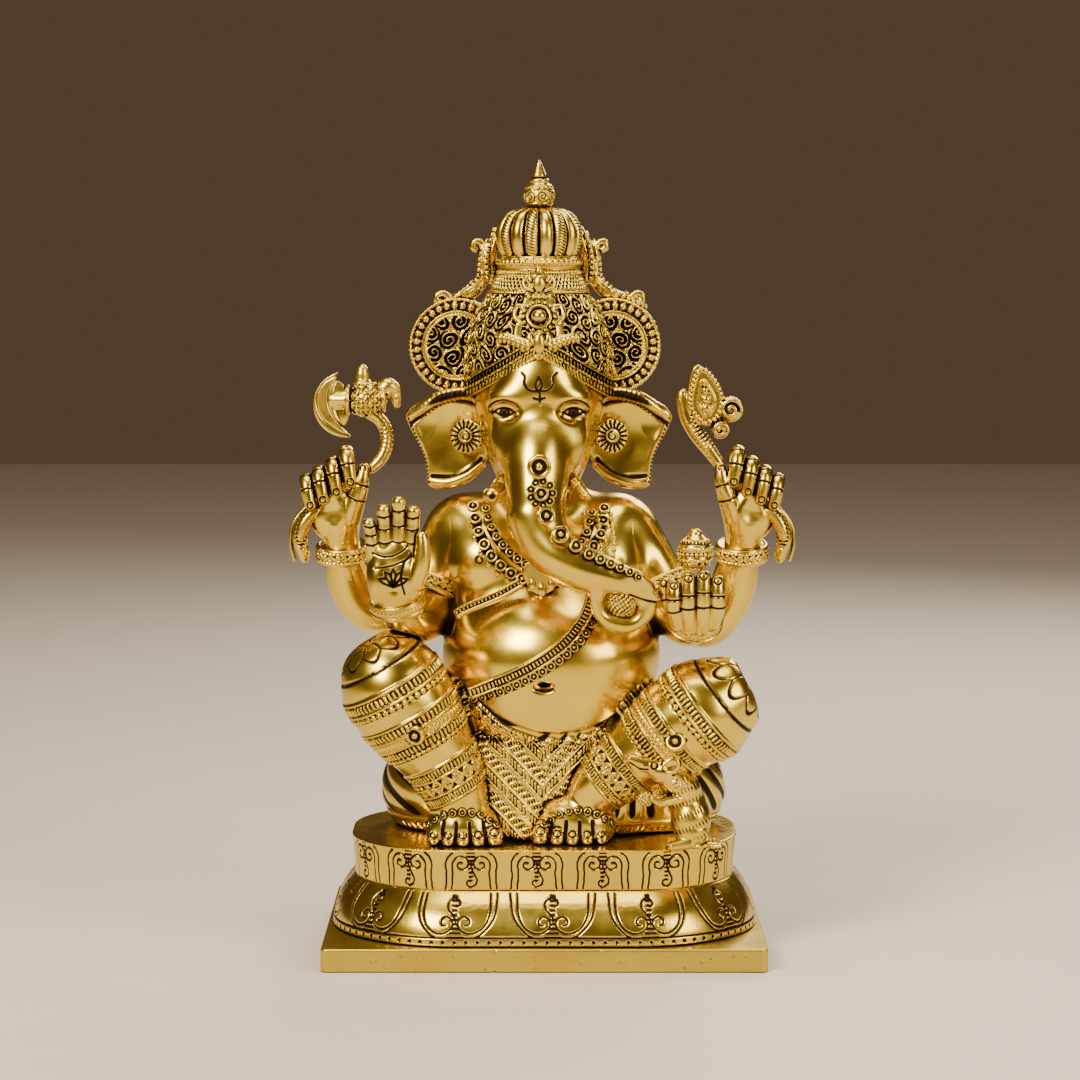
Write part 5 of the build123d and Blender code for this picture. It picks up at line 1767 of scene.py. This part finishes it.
# ---------------------------------------------------------------- ornaments on the body
def chest_necklace():
    """Two rows of round links with a fringe, hanging to the pendant."""
    node = "necklace"
    clay = clay_over(node, FINE, 9.0)
    middle = spot(node)
    outer = [(-33, 17), (-30, 5), (-24, -5), (-15, -13), (-5, -18), (2.5, -20), (12, -14), (20, -6),
             (28, 4), (30, 16)]
    inner = [(-27, 16), (-24, 7), (-18, -1), (-10, -8), (-2, -12), (6, -10), (14, -4), (21, 4), (24, 14)]
    beds = []
    strips = ((outer, 3.0, 5.9), (inner, 2.3, 4.5))
    for line, radius, pitch in strips:
        path = curve([middle + np.array((u, 0, v)) for u, v in line], pitch)
        rows = BODY.drop(path - (0, 60, 0), (0, 1, 0))
        ways = BODY.normals(rows)
        for p, n in zip(rows, ways):
            button(clay, p + n * 0.5, n, radius)
        beds.append((rows, radius))
        if radius > 2.5:
            drops = rows[1:-1]
            fringe = [p + n * 0.3 + np.array((np.sign(p[0] - middle[0]) * 1.6, 0, -3.8))
                      for p, n in zip(drops, ways[1:-1])]
            clay.add(*[egg(BODY.on([p])[0], (1.5, 1.2, 2.2)) for p in fringe], blend=0.2)
    spine = BODY.drop(curve([middle + np.array((u, 0, v)) for u, v in inner], 1.0) - (0, 60, 0), (0, 1, 0))
    clay.add(*tube(spine[:, :3], 0.9), blend=0.4)
    show("necklace_links", clay, [node], ORNAMENT)
    for rows, radius in beds:
        shadow(rows, radius)


def garland():
    """Upright strips of beads that hang from the left ear over the chest, part of the necklace."""
    corner = spot("necklace", 26, 0, -4)
    clay = Clay(corner - (14, 30, 34), corner + (18, 30, 30), FINE)
    for k, u in enumerate((-4.5, 2.0, 8.5)):
        line = [corner + np.array((u - 1.5, 0, 18)), corner + np.array((u, 0, 4)),
                corner + np.array((u - 0.6 * k, 0, -12 + 4 * k))]
        rows = BODY.drop(curve(line, 2.9) - (0, 60, 0), (0, 1, 0))
        for p in rows:
            clay.add(ball(p, 1.75 if k == 1 else 1.35), blend=0.2)
        clay.add(*tube(rows, 0.8), blend=0.3)
    show("chest_garland", clay, [], ORNAMENT)


def pendant():
    clay = exact("necklace_pendant", FINE, 0.4, 4.0)
    face = touch(clay, spot("necklace_pendant", 0, 0, 3))
    medallion(clay, face, (0, -1, 0), 5.4, 8, 1.3)
    foot = spot("necklace_pendant", 0, -3.2, 0)
    clay.add(egg(foot - (0, 0, 7.4), (2.2, 1.5, 3.4)), egg(foot + (-4.6, 0, -4.8), (1.7, 1.3, 2.9)),
             egg(foot + (4.6, 0, -4.8), (1.7, 1.3, 2.9)), blend=0.2)
    clay.add(*[ball(foot + (4.0 * a, 0, 7.6 - abs(a)), 1.2) for a in (-1, -0.35, 0.35, 1)], blend=0.2)
    show("pendant_flower", clay, ["necklace_pendant"], ORNAMENT)


def body_strip(name, node, line, width, bands, thick=1.3, back=70, hung=0.0):
    """Strip laid over the body, with its pattern. line holds offsets from the middle of the node's box."""
    clay = clay_over(node, FINE, 13.0)
    middle = spot(node)
    path = curve([middle + np.array((u, 0, v)) for u, v in line], 0.9)
    rows = BODY.drop(path - (0, back, 0), (0, 1, 0))
    ways = np.gradient(rows, axis=0)
    outs = BODY.normals(rows)
    for p, q, w, n in zip(rows, rows[1:], ways, outs):
        side = np.cross(n, w / np.linalg.norm(w))
        forms = [rod(p + side * a, q + side * a, thick * 0.8) for a in np.linspace(-width / 2, width / 2, 4)]
        clay.add(*forms)
    skin = clay.on(rows + outs * thick * 0.8)
    follow(clay, skin, bands, 2.2, (0, 0, 1))
    if hung:
        # A row of buttons hangs along the lower edge.
        below = np.cross(ways, (0, 1, 0))
        below *= np.sign(-below[:, 2:]) * (width / 2 + hung) / np.linalg.norm(below, axis=1, keepdims=True)
        row = BODY.drop(curve(rows + below - (0, 20, 0), 2.05 * hung), (0, 1, 0))
        for p, n in zip(row, BODY.normals(row)):
            button(clay, p + n * 0.4, n, hung)
        shadow(row, hung)
    shadow(rows[::3], width / 2)
    show(name, clay, [node], ORNAMENT)


def straps():
    thread = [(28.5, 29), (27.5, 15), (23, 3.5), (14, -6.5), (1, -15.5), (-14.5, -23.5), (-29, -29.5)]
    body_strip("sacred_thread_strip", "sacred_thread", thread, 4.4,
               edged((3.0, "ticks", 0.9), "line", 2.3, 1.3, 0.8), hung=2.2)
    strap = [(-17, -8.5), (-14, -6.5), (-6, -3), (4, 1.2), (13.5, 6.5)]
    body_strip("chest_strap_strip", "chest_strap", strap, 3.6,
               edged((2.6, "ticks", 0.9), "line", 2.0, 1.2, 0.8), 0.9)


def belt():
    """Waist belt, seen at the back and the sides."""
    clay = exact("waist_belt", 0.4, 0.5, 3.0)
    low, high = node_box("waist_belt")
    middle = spot("waist_belt", 0.3, -22.5, -10)
    across = Frame(middle, (0, -0.38, 1), (0, 1, 0))

    def height(points):
        rho, angle, along = across.coordinates(points)
        return stacked(edged((2.8, "flowers", 0.8), "rope", 2.2, 1.0, 0.6), angle * 52, along)

    clay.relief(low - 2, high + 2, height, 2.0)
    show("waist_belt_band", clay, ["waist_belt"], ORNAMENT)


# ---------------------------------------------------------------- mouse
def mouse():
    """Mouse on its haunches, muzzle up, with a ribbed collar, fur strokes and a sweet in its paws."""
    clay = cast_from("mouse", FINE, 0.9, 12.0, grain=0.9)
    middle = spot("mouse")
    at = places_on("mouse")
    clay.add(egg(at(5, -2, -5), (9.4, 8.6, 11)), egg(at(5.5, -4, -10), (8, 6.6, 7.6)), blend=2.5)
    clay.add(rod(at(2, -3, 10), at(-8, -9.5, 18.6), 7.4, 6.0), blend=3)
    clay.add(egg(at(-9, -9.6, 19.6), (6.4, 5.4, 5.4)), egg(at(-16.4, -11.2, 22.2), (4.4, 3.6, 3.4)),
             rod(at(-12, -10, 21), at(-24.0, -13.0, 25.4), 4.4, 1.9), blend=2)
    clay.add(rod(at(-1, -8.4, 6), at(-9.6, -12.0, 4.6), 2.7, 1.9),
             rod(at(-9.6, -12, 4.6), at(-13.5, -11.8, 6.6), 1.8, 1.4),
             blend=1)
    clay.add(rod(at(4, -8.0, -15), at(-4.4, -10.4, -16), 2.6, 2.1), blend=1)
    for k in (-1, 0, 1):
        clay.cut(rod(at(-5.2, -10.4 + 1.3 * k, -14.6), at(-6.8, -10.6 + 1.3 * k, -17.4), 0.35), blend=0.2)
    ear = at(-4.6, -13.0, 22.6)
    ear_axes = ((0.92, 0, 0.39), (0, 1, 0), (-0.39, 0, 0.92))
    clay.add(egg(ear, (5.0, 1.9, 3.9), ear_axes), blend=0.6)
    clay.cut(egg(ear - (0, 2.2, 0), (3.4, 1.2, 2.3), ear_axes), blend=0.6)
    clay.cut(hoop(ear - (0, 0.9, 0), (0, -1, 0), 4.6, 0.35), blend=0.2, patina_and_shadow=True)
    eye = touch(clay, at(-12.6, 0, 22.6), back=30)
    clay.add(ball(eye, 0.95), blend=0.2)
    clay.cut(hoop(eye, (0, -1, 0), 1.6, 0.3), blend=0.2, patina_and_shadow=True)
    engrave(clay, laid(clay, [at(-24, 0, 24), at(-19.6, 0, 21.2), at(-15.6, 0, 20.8)], back=30), 0.36)
    collar = [at(-3.8, 0, 15.8), at(-1, 0, 12.6), at(4.4, 0, 13.6)]
    follow(clay, laid(clay, collar, back=30), [(0, 3.4, "ribs", 1.1)], 2.2)

    def fur(points):
        q = points - middle
        across, along = q[:, 0] * 0.92 + q[:, 2] * 0.4, q[:, 2] - q[:, 0] * 0.4
        stroke = ridge(cell(across, 1.7) / 0.42) * bump(cell(along, 6.2) / 2.9)
        return -0.2 * stroke * (q[:, 2] > -13)

    low, high = node_box("mouse")
    clay.relief(low, high, fur, 1.5)
    tail = [at(11.6, -3, -14.6), at(12.6, 2, -12), at(10, 6, -8.6)]
    clay.add(*tube(curve(tail), 1.3), blend=0.8)
    show("mouse_figure", clay, ["mouse"], ORNAMENT)


def foot_plate():
    """Ragged plate under the mouse."""
    clay = clay_over("mouse_foot_plate", FINE, 2.0)
    low, high = node_box("mouse_foot_plate")
    rim = [(0.02, 0.2), (0.2, 0.02), (0.42, 0.07), (0.6, 0.0), (0.72, 0.16), (0.86, 0.03), (1.0, 0.12),
           (0.98, 0.9), (0.05, 0.95)]
    middle = spot("mouse_foot_plate")
    corners = [np.array((low[0] + a * (high[0] - low[0]), low[1] + b * (high[1] - low[1]), middle[2]))
               for a, b in rim]
    for p, q in zip(corners, corners[1:] + corners[:1]):
        rods = [rod(p + (middle - p) * t, q + (middle - q) * t, 1.25) for t in np.linspace(0.05, 1, 7)]
        clay.add(*rods, blend=0.2)
    show("mouse_plate", clay, ["mouse_foot_plate"], ORNAMENT)


def fixings():
    finish = steel()
    for node in ("fixing_studs", "fixing_nuts", "fixing_washers"):
        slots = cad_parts[node].data.materials
        slots.clear()
        slots.append(finish)


# ---------------------------------------------------------------- the whole object
def build():
    slab_plate()
    lower_tier()
    upper_tier()
    legs()
    apron()
    show("head_skin", HEAD, ["head"], FIGURE)
    show("trunk_skin", TRUNK, ["trunk"], FIGURE)
    granular_ball("trunk_laddu", "trunk_sweet", 7.2)
    granular_ball("mouse_laddu", "mouse_sweet", 3.9)
    for side, word in ((-1, "right"), (1, "left")):
        tusk(f"{word}_tusk_horn", f"{word}_tusk", side, 4.6 if side > 0 else 4.0)
        ear(f"{word}_ear_leaf", f"{word}_ear", side)
        earring(f"{word}_earring_wheel", f"{word}_earring", side)
        crown_wing(f"{word}_crown_disc", f"{word}_crown_wing", side)
        crown_scroll(f"{word}_crown_band", f"{word}_crown_scroll", side)
        arm(f"rear_{word}_arm_skin", f"rear_{word}_arm")
        rear_hand(f"rear_{word}_hand_skin", f"rear_{word}_hand", side)
        wrist_bands = edged((3.0, "flowers", 0.8), "rope", 2.4, 1.2, 0.7)
        bracelet(f"rear_{word}_bangle", f"rear_{word}_bracelet", (0, -0.25, 1), 10.0, wrist_bands, 3.4)
        ribbon(f"rear_{word}_ribbon_ribs", f"rear_{word}_ribbon", side)
        arm(f"front_{word}_arm_skin", f"front_{word}_arm")
    crown_cap()
    headband()
    crest()
    neck_ring()
    dome()
    finial()
    blessing_hand()
    pot_hand()
    pot()
    slim = edged((2.6, "ribs", 0.7), "line", 2.0, 0.9, 0.5)
    bracelet("front_right_bangle", "front_right_bracelet", (-0.15, -0.4, 1), 10.6, slim, 2.8)
    bracelet("front_left_bangle", "front_left_bracelet", (0.1, -0.8, 1), 10.6, slim, 2.3)
    wide = edged((3.4, "flowers", 1.0), "rope", 2.6, 1.1, 0.7)
    bracelet("right_armlet_band", "right_armlet", (-0.35, -0.45, -1), 13.2, wide, 3.2)
    bracelet("left_armlet_band", "left_armlet", (0.55, -0.4, -1), 12.6, wide, 3.2)
    axe()
    loop = [(-3.8, 1.8, 13), (0.4, 1.8, 10), (3.6, 1.3, 4.7), (4.1, 0.3, -1.8), (1.6, -1.2, -8.8),
            (-2.6, -2.7, -13.6)]
    ribbed_shaft("axe_loop", "axe_shaft", loop, 3.6)
    goad()
    chest_necklace()
    garland()
    pendant()
    straps()
    show("torso_skin", BODY, ["torso"], FIGURE)
    belt()
    mouse()
    foot_plate()
    fixings()


build()
studio(CAD_BOX[0][2])
lights((0, 0, CAD_BOX[1][2] * 0.55))
camera()
